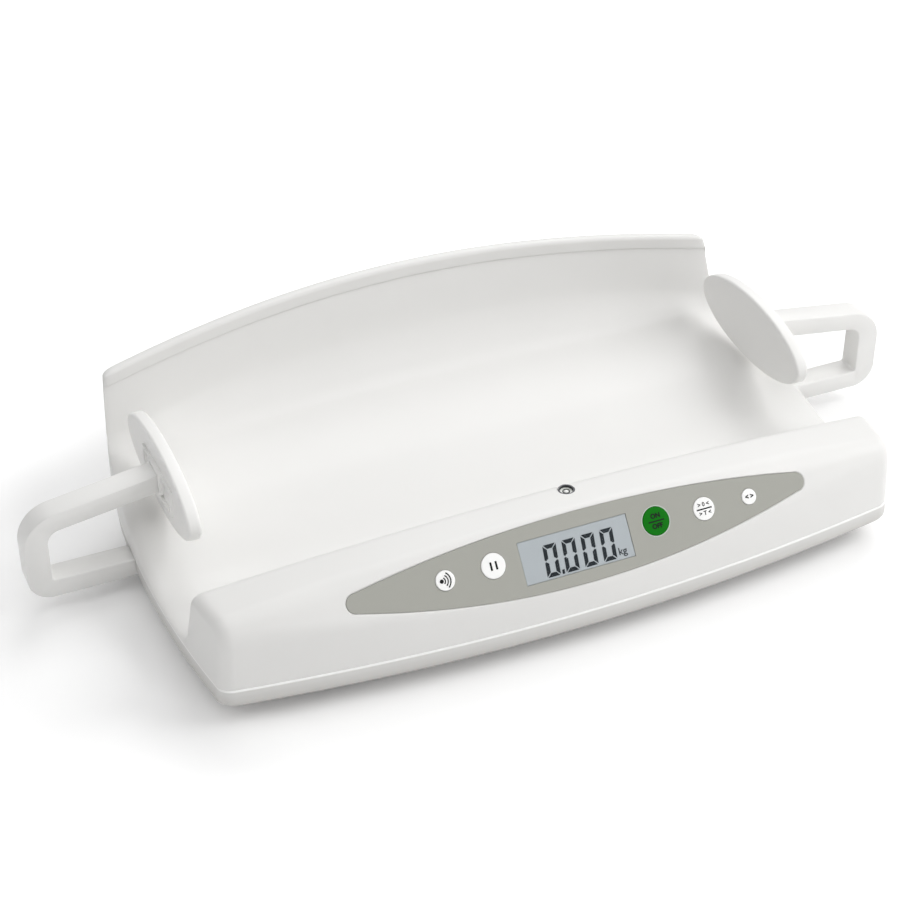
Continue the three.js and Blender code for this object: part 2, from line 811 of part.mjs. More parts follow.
function handleOutline() {
  const insideX = armOuter - handleUpright;
  const tipX = discInner + discThickness + gap;
  const under = (x) => handleTopAt(x) - armHeight;
  const path = [
    { y: armInnerEnd, z: armBottom, r: 0 },
    { y: armOuter, z: armBottom, r: handleLowRadius, steps: 5 },
    { y: armOuter, z: handleTopAt(armOuter), r: handleTopRadius, steps: 7 },
    { y: tipX, z: handleTopAt(tipX), r: 0 },
    { y: tipX, z: under(tipX), r: 0 },
    { y: insideX, z: under(insideX), r: windowTopRadius, steps: 4 },
    { y: insideX, z: armTop, r: windowLowRadius, steps: 2 },
    { y: armInnerEnd, z: armTop, r: 0 },
  ];
  return shapeOf(roundedPoints(path));
}

// The strip of the length gauge lies in a groove along the lower arm
const stripSpan = [armInnerEnd + stripInset, guideOuter - stripInset];
const stripTop = armTop - gap;
const stripBottom = stripTop - stripThickness;
function rightArm() {
  const body = new THREE.ExtrudeGeometry(handleOutline(), {
    depth: armWidth - 2 * armBevel,
    bevelThickness: armBevel,
    bevelSize: armBevel,
    bevelOffset: -armBevel,
    bevelSegments: 1,
    steps: 1,
  });
  body.rotateX(Math.PI / 2).translate(0, armY + armWidth / 2 - armBevel, 0);
  const groove = boxBetween(
    [stripSpan[0] - gap, stripSpan[1] + gap],
    around(armY, stripWidth / 2 + gap),
    [stripBottom - gap, armTop + overrun],
  );
  return cut(body, groove);
}

// A short sleeve round the upper arm, larger than it by a margin
function armSleeve([x0, x1], margin) {
  const top = (x) => handleTopAt(x) + margin;
  const low = (x) => handleTopAt(x) - armHeight - margin;
  const half = armWidth / 2 + margin;
  const shape = shapeOf([[x0, low(x0)], [x1, low(x1)], [x1, top(x1)], [x0, top(x0)]]);
  return plate(shape, -half, half).rotateX(Math.PI / 2).translate(0, armY, 0);
}

// Stops: oval plates with a rib frame and a socket for the arm on the outer face
function rightDisc() {
  const oval = new THREE.Shape();
  oval.absellipse(0, 0, discHalfDepth, discHalfHeight, 0, 2 * Math.PI, false, 0);
  const body = new THREE.ExtrudeGeometry(oval, {
    depth: discThickness - 2 * discEdge,
    bevelThickness: discEdge,
    bevelSize: discEdge,
    bevelOffset: -discEdge,
    bevelSegments: 2,
    curveSegments: 20,
  });
  body.translate(0, 0, discEdge).rotateX(Math.PI / 2).rotateZ(Math.PI / 2);
  body.translate(discInner, discY, discZ);
  const outer = discInner + discThickness;
  const frame = (less, x0, x1) => boxBetween(
    [x0, x1], around(discY, ribHalfDepth - less), around(discZ, ribHalfHeight - less),
  );
  const ribs = cut(frame(0, outer - ribWidth, outer + ribProud), frame(ribWidth, outer, outer + overrun));
  const collar = armSleeve([outer - collarRoot, outer + collarProud], collarMargin);
  const socket = armSleeve([outer, outer + 2 * collarProud], gap);
  return cut(joined(body, ribs, collar), socket);
}

// Guides: channels in the bottom shell with two lips over the arm, open over its strip
function guideOutline() {
  const half = armWidth / 2 + guideClear;
  const low = armBottom - guideClear;
  const high = armTop + guideClear;
  const lip = half - lipReach;
  return shapeOf([
    [-half - guideWall, low - guideWall], [half + guideWall, low - guideWall],
    [half + guideWall, high + guideWall], [lip, high + guideWall], [lip, high], [half, high],
    [half, low], [-half, low], [-half, high], [-lip, high], [-lip, high + guideWall],
    [-half - guideWall, high + guideWall],
  ]);
}

const readerBottom = armTop + guideClear + guideWall + gap;
for (const [side, word] of [[-1, 'left'], [1, 'right']]) {
  const span = ([x0, x1], inward = 0) => {
    const moved = [x0 - inward, x1 - inward];
    return side > 0 ? moved : [-moved[1], -moved[0]];
  };
  const inward = slideIn[word];
  const onSide = (geometry) => (side > 0 ? geometry : mirrored(geometry)).translate(-side * inward, 0, 0);
  piece(`${word}_slide_arm`, onSide(rightArm()), slideWhite);
  piece(`${word}_stop_disc`, onSide(rightDisc()), slideWhite);
  const guide = alongX(guideOutline(), span([guideInner, guideOuter])).translate(0, armY, 0);
  piece(`${word}_arm_guide`, guide, greyPlastic);
  const strip = boxBetween(span(stripSpan, inward), around(armY, stripWidth / 2), [stripBottom, stripTop]);
  piece(`${word}_measuring_strip`, strip, copperStrip);
  const readerStart = guideInner + readerInset;
  const readerSpan = span([readerStart, readerStart + readerLength]);
  const readerRise = [readerBottom, readerBottom + boardThickness];
  piece(`${word}_reader_board`, boxBetween(readerSpan, around(armY, readerWidth / 2), readerRise), boardGreen);
}

// Feet: a cup under the shell, a load cell in it and a turning rubber foot on the cell's stud
const cupTop = -baseDepth - gap;
const pocketTop = cupTop - cupRoof;
const loadCellTop = pocketTop - gap;
const loadCellBottom = loadCellTop - cellThickness;
const padTop = loadCellBottom - gap;
const floorZ = -baseDepth - footHeight;
for (const { name, x, y } of feet) {
  const cupBody = disc(cupRadius, x, y, cupTop - cupDepth, cupTop, 24);
  const pocket = disc(cupRadius - cupWall, x, y, cupTop - overrun, pocketTop, 24);
  piece(`${name}_foot_cup`, cut(cupBody, pocket), greyPlastic);
  const loadCell = boxBetween(around(x, cellSize / 2), around(y, cellSize / 2), [loadCellBottom, loadCellTop]);
  const studHole = disc(studRadius + gap, x, y, loadCellBottom - overrun, loadCellTop + overrun, 12);
  piece(`${name}_load_cell`, cut(loadCell, studHole), steel);
  const pad = disc(padRadius, x, y, floorZ, padTop, 20);
  const stud = disc(studRadius, x, y, padTop - padOverlap, loadCellTop - studSetIn, 12);
  piece(`${name}_foot`, joined(pad, stud), darkRubber);
}

// Battery bay: a box over the opening, four cells, two contact plates and the sliding cover
const boxTop = -baseDepth + boxHeight;
const boxBottom = -baseDepth + baseWall + gap;
const boxOuter = boxBetween(
  around(bayX, bayLength / 2 + boxWall), around(bayY, bayDepth / 2 + boxWall), [boxBottom, boxTop],
);
const boxInner = boxBetween(
  around(bayX, bayLength / 2), around(bayY, bayDepth / 2), [boxBottom - overrun, boxTop - boxWall],
);
piece('battery_box', cut(boxOuter, boxInner), blackPlastic);
const batteryZ = boxTop - boxWall - gap - cellRadius;
function batteryCell(x, y, sign) {
  const half = cellLength / 2;
  const shoulder = half - nubLength;
  const profile = [
    [0, -half], [cellRadius, -half], [cellRadius, shoulder], [nubRadius, shoulder], [nubRadius, half], [0, half],
  ];
  const body = new THREE.LatheGeometry(profile.map(([r, h]) => new THREE.Vector2(r, h)), 14);
  return body.rotateZ((-sign * Math.PI) / 2).translate(x, y, batteryZ);
}
[-1, 1].forEach((row) => [-1, 1].forEach((column) => {
  const x = bayX + column * (cellLength / 2 + gap);
  const index = (row + 1) + (column + 1) / 2 + 1;
  piece(`battery_cell_${index}`, batteryCell(x, bayY + row * cellPitch, row), cellSkin);
}));
const contactWidth = 2 * (cellPitch + contactMargin);
for (const [side, word] of [[-1, 'left'], [1, 'right']]) {
  const x = bayX + side * (cellLength + 3 * gap + contactThickness / 2);
  piece(`${word}_battery_contact`, box(contactThickness, contactWidth, contactHeight, x, bayY, batteryZ), steel);
}
const cover = boxBetween(
  around(bayX, bayLength / 2 - gap), around(bayY, bayDepth / 2 - gap), [coverTop - coverThickness, coverTop],
);
const grips = [];
for (let k = 0; k < gripCount; k += 1) {
  const x = bayX + bayLength / 2 - gripInset + gripPitch * k;
  grips.push(box(gripWidth, gripLength, 2 * gripDepth, x, bayY, coverTop - coverThickness));
}
piece('battery_cover', cut(cover, ...grips), shellWhite);

export default assembly;
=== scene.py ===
import json
from collections import namedtuple
from math import atan2, copysign, cos, hypot, pi, radians, sin, tan

import bmesh
import bpy
from mathutils import Matrix, Vector


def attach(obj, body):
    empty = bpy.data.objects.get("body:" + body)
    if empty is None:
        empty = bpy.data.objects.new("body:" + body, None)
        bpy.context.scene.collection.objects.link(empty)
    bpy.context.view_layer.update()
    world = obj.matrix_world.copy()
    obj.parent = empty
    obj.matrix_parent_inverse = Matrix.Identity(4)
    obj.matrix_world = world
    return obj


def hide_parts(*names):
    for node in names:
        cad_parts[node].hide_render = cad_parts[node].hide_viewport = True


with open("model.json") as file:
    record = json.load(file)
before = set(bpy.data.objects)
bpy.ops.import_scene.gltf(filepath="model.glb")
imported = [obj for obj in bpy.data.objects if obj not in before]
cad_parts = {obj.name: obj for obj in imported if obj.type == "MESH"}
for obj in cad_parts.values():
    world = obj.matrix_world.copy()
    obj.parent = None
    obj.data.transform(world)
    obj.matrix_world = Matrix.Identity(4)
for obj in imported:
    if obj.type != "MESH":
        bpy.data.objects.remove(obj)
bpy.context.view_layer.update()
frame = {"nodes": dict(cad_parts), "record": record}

MM = 0.001
weld_distance = 1e-6

# Clearance between pieces, and how far a cutting tool runs past what it cuts
gap = 0.3
seam_gap = 0.05
overrun = 12

# Both shells in plan
half_length = 306
front_bow = 24.2
back_bow = 34
end_bow = 13
end_bow_reach = 150
end_draft = 0.06
end_tuck = 12
end_radius = 10

# Rim and back wall
rim_back = 323
rim_height = 92
rim_crown = 20
rim_depth = 11.5
rim_band = 11
rim_proud = 1.3
rim_radius = 4
band_lean = 1
band_step = 1
back_wall_lean = 1.5
back_wall_drop = 21
back_wall_radius = 20
scoop_set_in = 61
scoop_run = 24
scoop_rise = 0.42
scoop_radius = 40

# Tray: a fold under the back wall, a long flat and the trough behind the console
fold_set_in = 25.5
fold_bow = 24
fold_height = 29
fold_radius = 16
fold_radius_rise = 48
tray_mid_y = 205
tray_mid_height = 22.5
tray_radius = 90
trough_back = 128
trough_front = 62
trough_bow = 2
trough_floor = 3.5
trough_radius = 18

# Console
front_edge = 46
front_edge_drop = 19
edge_drop_power = 2.5
edge_radius = 10
edge_radius_ends = 16
console_top = 58.5
console_crown = 15.5
console_radius = 10
console_radius_ends = 36
console_back = 55
console_back_bow = 3
console_dip = 1.5
console_dip_bow = 2.5
console_inner_radius = 11
slope = radians(52)

# How far each corner follows the rounding of the end walls
front_lift_share = 0.8
scoop_lift_share = 0.3
scoop_run_lift_share = 0.1
rim_lift_share = 0.4
band_lift_share = 0.1
fold_lift_share = 0.12
tray_lift_share = 0.7
trough_lift_share = 0.28

# Bottom shell
base_depth = 26
base_strip = 14
base_tuck = 10
base_lip = 1.2
base_lip_radius = 1
base_strip_radius = 14
base_low_radius = 6
base_back_radius = 4
base_rise = 0.5
foot_height = 10

# Least radius of a rounding, and the share of a side that a rounding may take up
least_radius = 1
room_share = 0.47

# Walls, bosses and screws
wall = 3.2
base_wall = 3
hollow_set_back = 9
roof_inset = 1
boss_radius = 4.5
boss_overlap = 2
screw_radius = 1.5
screw_length = 12
screw_head_radius = 3.2
screw_head_depth = 1.3
screw_head_edge = 0.4
screw_cross = 3.6
screw_cross_width = 0.8
screw_cross_depth = 0.8
screw_set_in = 44
screw_x = half_length - screw_set_in
screw_front = 42
screw_middle = 120
screw_rear = 150
screw_back = 222
screw_places = [
    (-screw_x, screw_front), (screw_x, screw_front), (0, screw_middle),
    (-screw_x, screw_rear), (screw_x, screw_rear), (0, screw_back),
]

# Slides
slide_in = {"left": 5.5, "right": 0}
arm_y = 196
arm_width = 22
arm_height = 16.6
arm_low = -12.3
arm_bevel = 1.2
arm_reach = 92
arm_run_in = 196
arm_outer = half_length + arm_reach
arm_inner_end = half_length - arm_run_in
handle_top = 55.5
handle_rise = 0.15
handle_upright = 20
handle_top_radius = 32
handle_low_radius = 20
window_top_radius = 12
window_low_radius = 2
slot_depth = 40
slot_inset = 6
slot_notch = 1.7
strip_width = 9
strip_thickness = 0.8
strip_inset = 4
guide_set_in = 18
guide_outer = half_length - guide_set_in

# Stops at the inner ends of the upper arms
disc_set_in = 36
disc_inner = half_length - disc_set_in
disc_thickness = 11
disc_y = 201.5
disc_z = 60.3
disc_half_depth = 83
disc_half_height = 31.3
disc_edge = 2.4
rib_half_depth = 37
rib_half_height = 12.5
rib_proud = 2.2
rib_width = 2.5
rib_root = 2
rib_edge = 0.5
collar_margin = 2
collar_proud = 4
collar_root = 1
collar_edge = 0.6

# Panel, in its own plane: x along the tray, s up the slope, d out of it
panel_x = 5
panel_reach = 190
panel_low = 0.5
panel_low_rise = 25
panel_high = 57.4
panel_high_drop = 16.6
panel_thickness = 1
panel_edge = 0.2
recess_chamfer = 1.2
display_set_left = 7.5
display_x = panel_x - display_set_left
display_s = 27.8
display_length = 94
display_height = 34.4
display_thickness = 5
window_margin = 3
window_overrun = 2
pane_thickness = 0.25
face_depth = 0.4
face_back = 1.4

# Digits: bars of a seven-segment display, a point and the unit
digit_height = 25.3
digit_width = 11.4
digit_pitch = 16.3
digit_count = 4
digit_stroke = 3.3
digit_tip = digit_stroke / 3
digit_gap = 0.3
digit_lean_share = 0.075
digit_first_x = -31.5
digit_low_s = 12.4
digit_sink = 0.05
digit_low = -face_depth - digit_sink
digit_high = -face_depth + digit_sink
point_size = 2.2
point_height = 3.4
point_set_in = 1.4
unit_size = 8.2
unit_bold = 0.12
unit_x = 34.6
unit_s = 17

# Keys: place along the panel as a share of its reach, height up the slope, radius
key_proud = 1.2
key_edge = 0.7
key_crown = 0.35
key_flange = 1.8
flange_top = 4.2
flange_thickness = 1.4
stem_radius = 2
stem_length = 1
key_places = {
    "on_off": (0.3321, 32.7, 11.4),
    "zero_tare": (0.5568, 31.9, 9.3),
    "length_weight": (0.7721, 31.6, 6.4),
    "hold": (-0.4074, 32.9, 10),
    "sound": (-0.6195, 32, 7.9),
}
keys = {name: (panel_x + panel_reach * share, s, r) for name, (share, s, r) in key_places.items()}
ring_width = 0.75
ring_proud = 0.25

# Signs on the keys: two words on either side of a line, two arrows, two bars, a dot with arcs
mark_low = key_proud - key_crown / 2
mark_proud = 0.05
mark_high = key_proud + mark_proud
letter_bold = 0.24
sign_bold = 0.1
line_thickness = 1.05
worded_signs = {
    "on_off": ("ON", "OFF", 5.2, letter_bold, 4.1, 13.6),
    "zero_tare": ("> 0 <", "> T <", 4.6, sign_bold, 3.5, 13.2),
}
swap_size = 5.2
pause_width = 1.6
pause_height = 6.6
pause_set_out = 2.2
dot_radius = 1.6
dot_set_out = 3.2
arc_count = 3
arc_first = 2.9
arc_pitch = 2.2
arc_thickness = 0.95
arc_half_angle = 0.9

# Posts that hold the main board
board_set_right = 14
board_x = panel_x + board_set_right
board_s = 32
board_top = -12
post_x = 138
post_s = 14
post_radius = 3

# Level: a cup with a sunken face, a ring on it and a bubble
level_x = 10.5
level_y = 39.5
level_radius = 6.7
level_depth = 9
level_lift = 0.4
level_rim = 1.2
level_edge = 0.25
level_sink = 2.2
face_thickness = 0.25
level_ring_inner = 2.2
level_ring_outer = 3.1
level_ring_height = 0.2
bubble_radius = 1.9
bubble_height = 0.7

# Feet and battery opening
foot_set_in = 71
foot_x = half_length - foot_set_in
foot_front = 42
foot_rear = 188
foot_places = {
    f"{end}_{side}": (way * foot_x, y)
    for end, y in (("front", foot_front), ("rear", foot_rear))
    for side, way in (("left", -1), ("right", 1))
}
cup_radius = 23
cup_wall = 1.8
cup_depth = 5.6
cup_roof = 1.5
cup_edge = 0.5
cell_thickness = 2.4
stud_radius = 3
stud_set_in = 0.4
pad_radius = 15
pad_edge = 1
groove_depth = 0.6
groove_width = 1.2
groove_count = 3
bay_x = -148
bay_y = 25
bay_length = 116
bay_depth = 38
cover_thickness = 1.7
cover_edge = 0.4
rail_wall = 2
rail_drop = 4.4
rail_root = 0.6
rail_lip = 2.2
rail_lip_depth = 1.4
grip_width = 1.2
grip_length = 20
grip_depth = 0.6
grip_pitch = 3
grip_inset = 14
grip_count = 4

# Angles in degrees above which an edge is bevelled or shown sharp, and counts of steps
bevel_angle = 35
steep_bevel_angle = 50
sharp_angle = 30
shell_sharp_angle = 24
disc_sharp_angle = 35
hollow_stations = 24
turned_sides = 64
key_sides = 96
disc_sides = 128
screw_sides = 32
round_steps = 6

# Camera, with its place and axes worked out from the photograph's outlines
camera_place = Vector((-612.25, -1322.7, 1111.3))
camera_right = Vector((0.915, -0.4035, 0))
camera_up = Vector((0.2368, 0.5368, 0.8098))
camera_lens = 83.56

# Lamps: place and size in metres, power in watts
lamps = {
    "top_lamp": ((-0.7, -0.7, 2.2), (2.2, 2.2), 16),
    "low_right_lamp": ((1.1, -1.1, 0.45), (0.9, 0.7), 2),
    "front_lamp": ((0.1, -2.3, 1.3), (2.2, 1.6), 11),
    "high_right_lamp": ((3.6, -1.2, 3.2), (3.2, 3.2), 124),
    "back_lamp": ((1.6, 2.0, 2.9), (2.8, 2.8), 62),
    "left_lamp": ((-2.0, 0.3, 1.2), (1.6, 1.6), 7),
}
lamp_aim = Vector((0, 0, 0.05))
room_strength = 0.12
backdrop_strength = 1

# Floor in metres. Outside an oval round the scale it glows for the camera, more with distance.
floor_half = 6
floor_thickness = 0.01
oval_x = 0.46
oval_y = 0.28
glow_near = 0.06
glow_far = 1
glow_far_share = 2.2
floor_roughness = 0.9
floor_wear = (3, 0.85, 0.95)

# Stripes on strips and battery cells, tracks on the boards, and the window's glass
track_copper = (0.5, 0.2, 0.07)
track_green = (0.02, 0.13, 0.05)
track_scale = 80
board_relief = (420, 0.4, 0.05)
sleeve_blue = (0.03, 0.08, 0.15)
sleeve_gold = (0.55, 0.42, 0.12)
sleeve_scale = 3.1
sleeve_share = 0.3
glass_tint = (0.2, 0.22, 0.23)
glass_roughness = 0.08
glass_wear = (40, 0.05, 0.12)
glass_alpha = 0.03

# Plastics: colour and roughness, then the colour's drift and the grain's scale, strength and depth
plastics = {
    "shell_white": ((0.79, 0.785, 0.77), 0.32),
    "base_white": ((0.74, 0.735, 0.72), 0.34),
    "slide_white": ((0.82, 0.815, 0.8), 0.34),
    "disc_white": ((0.87, 0.865, 0.85), 0.34),
    "panel_grey": ((0.385, 0.385, 0.35), 0.52, 0.004, 2600, 0.2, 0.04),
    "ring_pale": ((0.55, 0.62, 0.55), 0.4),
    "key_white": ((0.94, 0.94, 0.93), 0.34),
    "key_green": ((0.001, 0.155, 0.002), 0.45, 0.05),
    "mark_black": ((0.008, 0.009, 0.009), 0.6, 0.2),
    "display_grey": ((0.45, 0.49, 0.515), 0.42, 0.01, 3000, 0.1, 0.02),
    "digit_black": ((0.01, 0.014, 0.018), 0.5, 0.2),
    "black_plastic": ((0.018, 0.018, 0.02), 0.5, 0.2),
    "grey_plastic": ((0.26, 0.27, 0.28), 0.5, 0.05),
    "dark_rubber": ((0.035, 0.036, 0.038), 0.82, 0.15, 900, 0.5, 0.15),
    "board_green": (track_green, 0.45, 0.15),
    "cell_skin": (sleeve_blue, 0.35),
    "level_pale": ((0.72, 0.74, 0.7), 0.2),
    "bubble_pale": ((0.85, 0.86, 0.84), 0.12),
}

# Metals: colour, roughness and how the grain is stretched, then what they have in common
metals = {
    "steel": ((0.62, 0.63, 0.64), 0.3, (1, 1, 8)),
    "dark_steel": ((0.07, 0.07, 0.075), 0.28, (1, 1, 1)),
    "copper": (track_copper, 0.35, (1, 8, 1)),
}
metal_surface = {
    "spread": 0.05, "grain": 900, "strength": 0.15, "depth": 0.02, "metallic": 1,
    "cloud": 30, "wear": 300, "smoother": 0.08, "rougher": 0.12,
}

# Strength of the gloss where it isn't the usual one
shines = {
    "shell_white": 0.25, "base_white": 0.25, "slide_white": 0.25, "disc_white": 0.25, "panel_grey": 0.25,
    "key_green": 0.1, "mark_black": 0.1, "digit_black": 0.1, "display_glass": 0.12,
}

# The bottom shell's colour at shares of its height: painted shade darkening towards the bottom, and a
# painted highlight along the lip at the top
base_shade_and_highlight_shares = [
    (0, (0.5, 0.485, 0.465)),
    (0.5, (0.6, 0.59, 0.57)),
    (0.93, (0.7, 0.695, 0.68)),
    (0.97, (0.95, 0.95, 0.94)),
]
cloud_shares = (0.35, 0.65)

# Where the frame of the shells stands in the part's own
shift_x = (slide_in["right"] - slide_in["left"]) / 2
shift_y = -(rim_back + back_bow - front_bow - base_lip) / 2
shift_z = base_depth + foot_height


# Places
def spot(x, y, z):
    """A point of the shells' frame, in metres."""
    return Vector((x + shift_x, y + shift_y, z + shift_z)) * MM


def on_panel(x, s, d=0):
    """A point of the sloping panel's frame, in metres."""
    y = -front_bow + s * cos(slope) - d * sin(slope)
    z = front_edge - front_edge_drop + s * sin(slope) + d * cos(slope)
    return spot(x, y, z)


scene = bpy.context.scene


def linked(name, data):
    made = bpy.data.objects.new(name, data)
    scene.collection.objects.link(made)
    return made


# The camera and the lights come first
camera = linked("camera", bpy.data.cameras.new("camera"))
camera.data.lens = camera_lens
turned = Matrix((camera_right, camera_up, camera_right.cross(camera_up))).transposed().to_4x4()
camera.matrix_world = Matrix.Translation(camera_place * MM) @ turned
scene.camera = camera
scene.view_settings.view_transform = "Standard"

for name, (where, size, power) in lamps.items():
    data = bpy.data.lights.new(name, "AREA")
    data.shape = "RECTANGLE"
    data.size, data.size_y = size
    data.energy = power
    lamp = linked(name, data)
    lamp.location = where
    lamp.rotation_euler = (lamp_aim - Vector(where)).to_track_quat("-Z", "Y").to_euler()


# Nodes
def wired(tree, kind, inputs, operation=None, output=0):
    """Adds a node whose inputs are numbers or other nodes' outputs, and gives one of its outputs."""
    node = tree.nodes.new(f"ShaderNode{kind}")
    if operation:
        node.operation = operation
    for key, value in inputs.items():
        if isinstance(value, bpy.types.NodeSocket):
            tree.links.new(value, node.inputs[key])
        else:
            node.inputs[key].default_value = value
    return node.outputs[output]


world = bpy.data.worlds.new("studio")
scene.world = world
world.use_nodes = True
sky = world.node_tree
sky.nodes.clear()
rays = sky.nodes.new("ShaderNodeLightPath").outputs
shown = rays["Is Camera Ray"]
for ray in ("Is Glossy Ray", "Is Transmission Ray"):
    shown = wired(sky, "Math", {0: shown, 1: rays[ray]}, "MAXIMUM")
room = wired(sky, "Background", {"Color": (1, 1, 1, 1), "Strength": room_strength})
backdrop = wired(sky, "Background", {"Color": (1, 1, 1, 1), "Strength": backdrop_strength})
mixed = wired(sky, "MixShader", {0: shown, 1: room, 2: backdrop})
sky.links.new(mixed, sky.nodes.new("ShaderNodeOutputWorld").inputs["Surface"])


# Materials
class Look:
    """A material with one principled shader and short ways to add detail to it."""

    def __init__(self, name, colour, roughness, metallic=0):
        self.material = bpy.data.materials.new(name)
        self.material.use_nodes = True
        self.tree = self.material.node_tree
        self.inputs = self.tree.nodes["Principled BSDF"].inputs
        for key, value in (("Base Color", (*colour, 1)), ("Roughness", roughness), ("Metallic", metallic)):
            self.inputs[key].default_value = value
        self.coordinates = self.tree.nodes.new("ShaderNodeTexCoord").outputs["Object"]
        self.colour = colour

    def link(self, source, name):
        self.tree.links.new(source, self.inputs[name])

    def stretched(self, scale):
        return wired(self.tree, "Mapping", {"Vector": self.coordinates, "Scale": scale})

    def noise(self, scale, detail, stretch=None):
        place = self.stretched(stretch) if stretch else self.coordinates
        return wired(self.tree, "TexNoise", {"Vector": place, "Scale": scale, "Detail": detail})

    def remap(self, value, low, high, start=0, end=1):
        limits = {"From Min": start, "From Max": end, "To Min": low, "To Max": high}
        return wired(self.tree, "MapRange", {"Value": value, **limits})

    def paint(self, value, stops):
        """Colours by a value, with (place, colour) stops."""
        node = self.tree.nodes.new("ShaderNodeValToRGB")
        points = node.color_ramp.elements
        while len(points) < len(stops):
            points.new(stops[-1][0])
        for point, (place, colour) in zip(points, stops):
            point.position = place
            point.color = (*colour, 1)
        self.tree.links.new(value, node.inputs["Fac"])
        self.link(node.outputs["Color"], "Base Color")

    def clouded(self, scale, spread):
        """Lets the colour drift a little from place to place."""
        tones = [[min(1, c * (1 + way * spread)) for c in self.colour] for way in (-1, 1)]
        self.paint(self.noise(scale, 3), list(zip(cloud_shares, tones)))

    def worn(self, scale, low, high, stretch=None):
        """Lets the roughness change from place to place."""
        self.link(self.remap(self.noise(scale, 4, stretch), low, high), "Roughness")

    def grained(self, scale, strength, depth, stretch=None, detail=3):
        """Adds a fine relief, its depth in millimetres."""
        height = self.noise(scale, detail, stretch)
        relief = {"Strength": strength, "Distance": depth * MM, "Height": height}
        self.link(wired(self.tree, "Bump", relief), "Normal")

    def striped(self, scale, first, second, edge_share=0.5, blend_share=0.02):
        """Paints two colours in turn along x."""
        wave = wired(self.tree, "TexWave", {"Vector": self.coordinates, "Scale": scale}, output="Fac")
        self.paint(wave, [(edge_share - blend_share, first), (edge_share + blend_share, second)])

    def by_height(self, low, high, stops):
        """Changes the colour between two heights over the seam; used to paint shade and a highlight by
        height.
        """
        height = wired(self.tree, "SeparateXYZ", {0: self.coordinates}, output="Z")
        self.paint(self.remap(height, 0, 1, (low + shift_z) * MM, (high + shift_z) * MM), stops)


def surface(
    name, colour, roughness, spread=0.008, grain=1400, strength=0.12, depth=0.05, stretch=None, metallic=0,
    cloud=7, wear=24, smoother=0.05, rougher=0.06,
):
    look = Look(name, colour, roughness, metallic)
    look.clouded(cloud, spread)
    look.worn(wear, roughness - smoother, roughness + rougher, stretch)
    look.grained(grain, strength, depth, stretch)
    return look


looks = {name: surface(name, *row) for name, row in plastics.items()}
for name, (colour, roughness, stretch) in metals.items():
    looks[name] = surface(name, colour, roughness, stretch=stretch, **metal_surface)
looks["level_fluid"] = looks["level_pale"]
# The bottom shell gets painted shade towards its bottom and a painted highlight along its lip
looks["base_white"].by_height(-base_depth, 0, base_shade_and_highlight_shares)
looks["board_green"].grained(*board_relief, detail=0)
looks["copper"].striped(track_scale, track_copper, track_green)
looks["cell_skin"].striped(sleeve_scale, sleeve_blue, sleeve_gold, sleeve_share)

glass = looks["display_glass"] = Look("display_glass", glass_tint, glass_roughness)
glass.worn(*glass_wear)
glass.inputs["Alpha"].default_value = glass_alpha
glass.material.surface_render_method = "BLENDED"
for name, shine in shines.items():
    looks[name].inputs["Specular IOR Level"].default_value = shine

for row in frame["record"]["subparts"]:
    for place in frame["nodes"][row["node"]].material_slots:
        place.material = looks[row["material_slot"]].material


# Meshes
def make_object(name, points, faces):
    mesh = bpy.data.meshes.new(name)
    mesh.from_pydata(points, [], faces)
    tidy = bmesh.new()
    tidy.from_mesh(mesh)
    bmesh.ops.remove_doubles(tidy, verts=tidy.verts, dist=weld_distance)
    bmesh.ops.recalc_face_normals(tidy, faces=tidy.faces)
    tidy.to_mesh(mesh)
    tidy.free()
    return linked(name, mesh)


def side_faces(count, total):
    """Faces between rings of equal count."""
    faces = []
    for low in range(0, total - count, count):
        for i in range(count):
            j = (i + 1) % count
            faces.append([low + i, low + j, low + j + count, low + i + count])
    return faces


def stack(name, layers, place):
    """A solid through outlines of equal count at rising heights, put in space by place(a, b, c)."""
    count = len(layers[0][0])
    points = [place(a, b, height) for outline, height in layers for a, b in outline]
    total = len(points)
    ends = [range(count), range(total - count, total)]
    return make_object(name, points, ends + side_faces(count, total))


def prism(name, outline, low, high, place):
    return stack(name, [(outline, low), (outline, high)], place)


def block(name, x_range, y_range, z_range, place=spot):
    (x0, x1), (y0, y1) = x_range, y_range
    return prism(name, [(x0, y0), (x1, y0), (x1, y1), (x0, y1)], *z_range, place)


def around(middle, half):
    return middle - half, middle + half


def lathe(name, profile, x, y, place=spot, sides=turned_sides):
    """Turns a profile of (radius, height) round the axis at x, y."""
    points = []
    rings = []
    for radius, height in profile:
        if radius:
            rings.append(range(len(points), len(points) + sides))
            for k in range(sides):
                angle = 2 * pi * k / sides
                points.append(place(x + radius * cos(angle), y + radius * sin(angle), height))
        else:
            rings.append([len(points)] * sides)
            points.append(place(x, y, height))
    faces = []
    pairs = list(zip(rings, rings[1:]))
    if profile[0][0] and profile[-1][0]:
        pairs.append((rings[-1], rings[0]))
    for low, high in pairs:
        for k in range(sides):
            j = (k + 1) % sides
            faces.append(list(dict.fromkeys([low[k], low[j], high[j], high[k]])))
    return make_object(name, points, faces)


def post(name, radius, x, y, low, high, place=spot, sides=48):
    return lathe(name, [(0, low), (radius, low), (radius, high), (0, high)], x, y, place, sides)


def combine(target, tools, operation="DIFFERENCE"):
    for tool in tools:
        change = target.modifiers.new("combine", "BOOLEAN")
        change.operation = operation
        change.object = tool
        change.solver = "MANIFOLD"
        apply_modifiers(target)
        bpy.data.objects.remove(tool)
    return target


def evaluated_mesh(target):
    view = bpy.context.evaluated_depsgraph_get()
    view.update()
    return bpy.data.meshes.new_from_object(target.evaluated_get(view))


def apply_modifiers(target):
    old, mesh = target.data, evaluated_mesh(target)
    target.modifiers.clear()
    target.data = mesh
    bpy.data.meshes.remove(old)


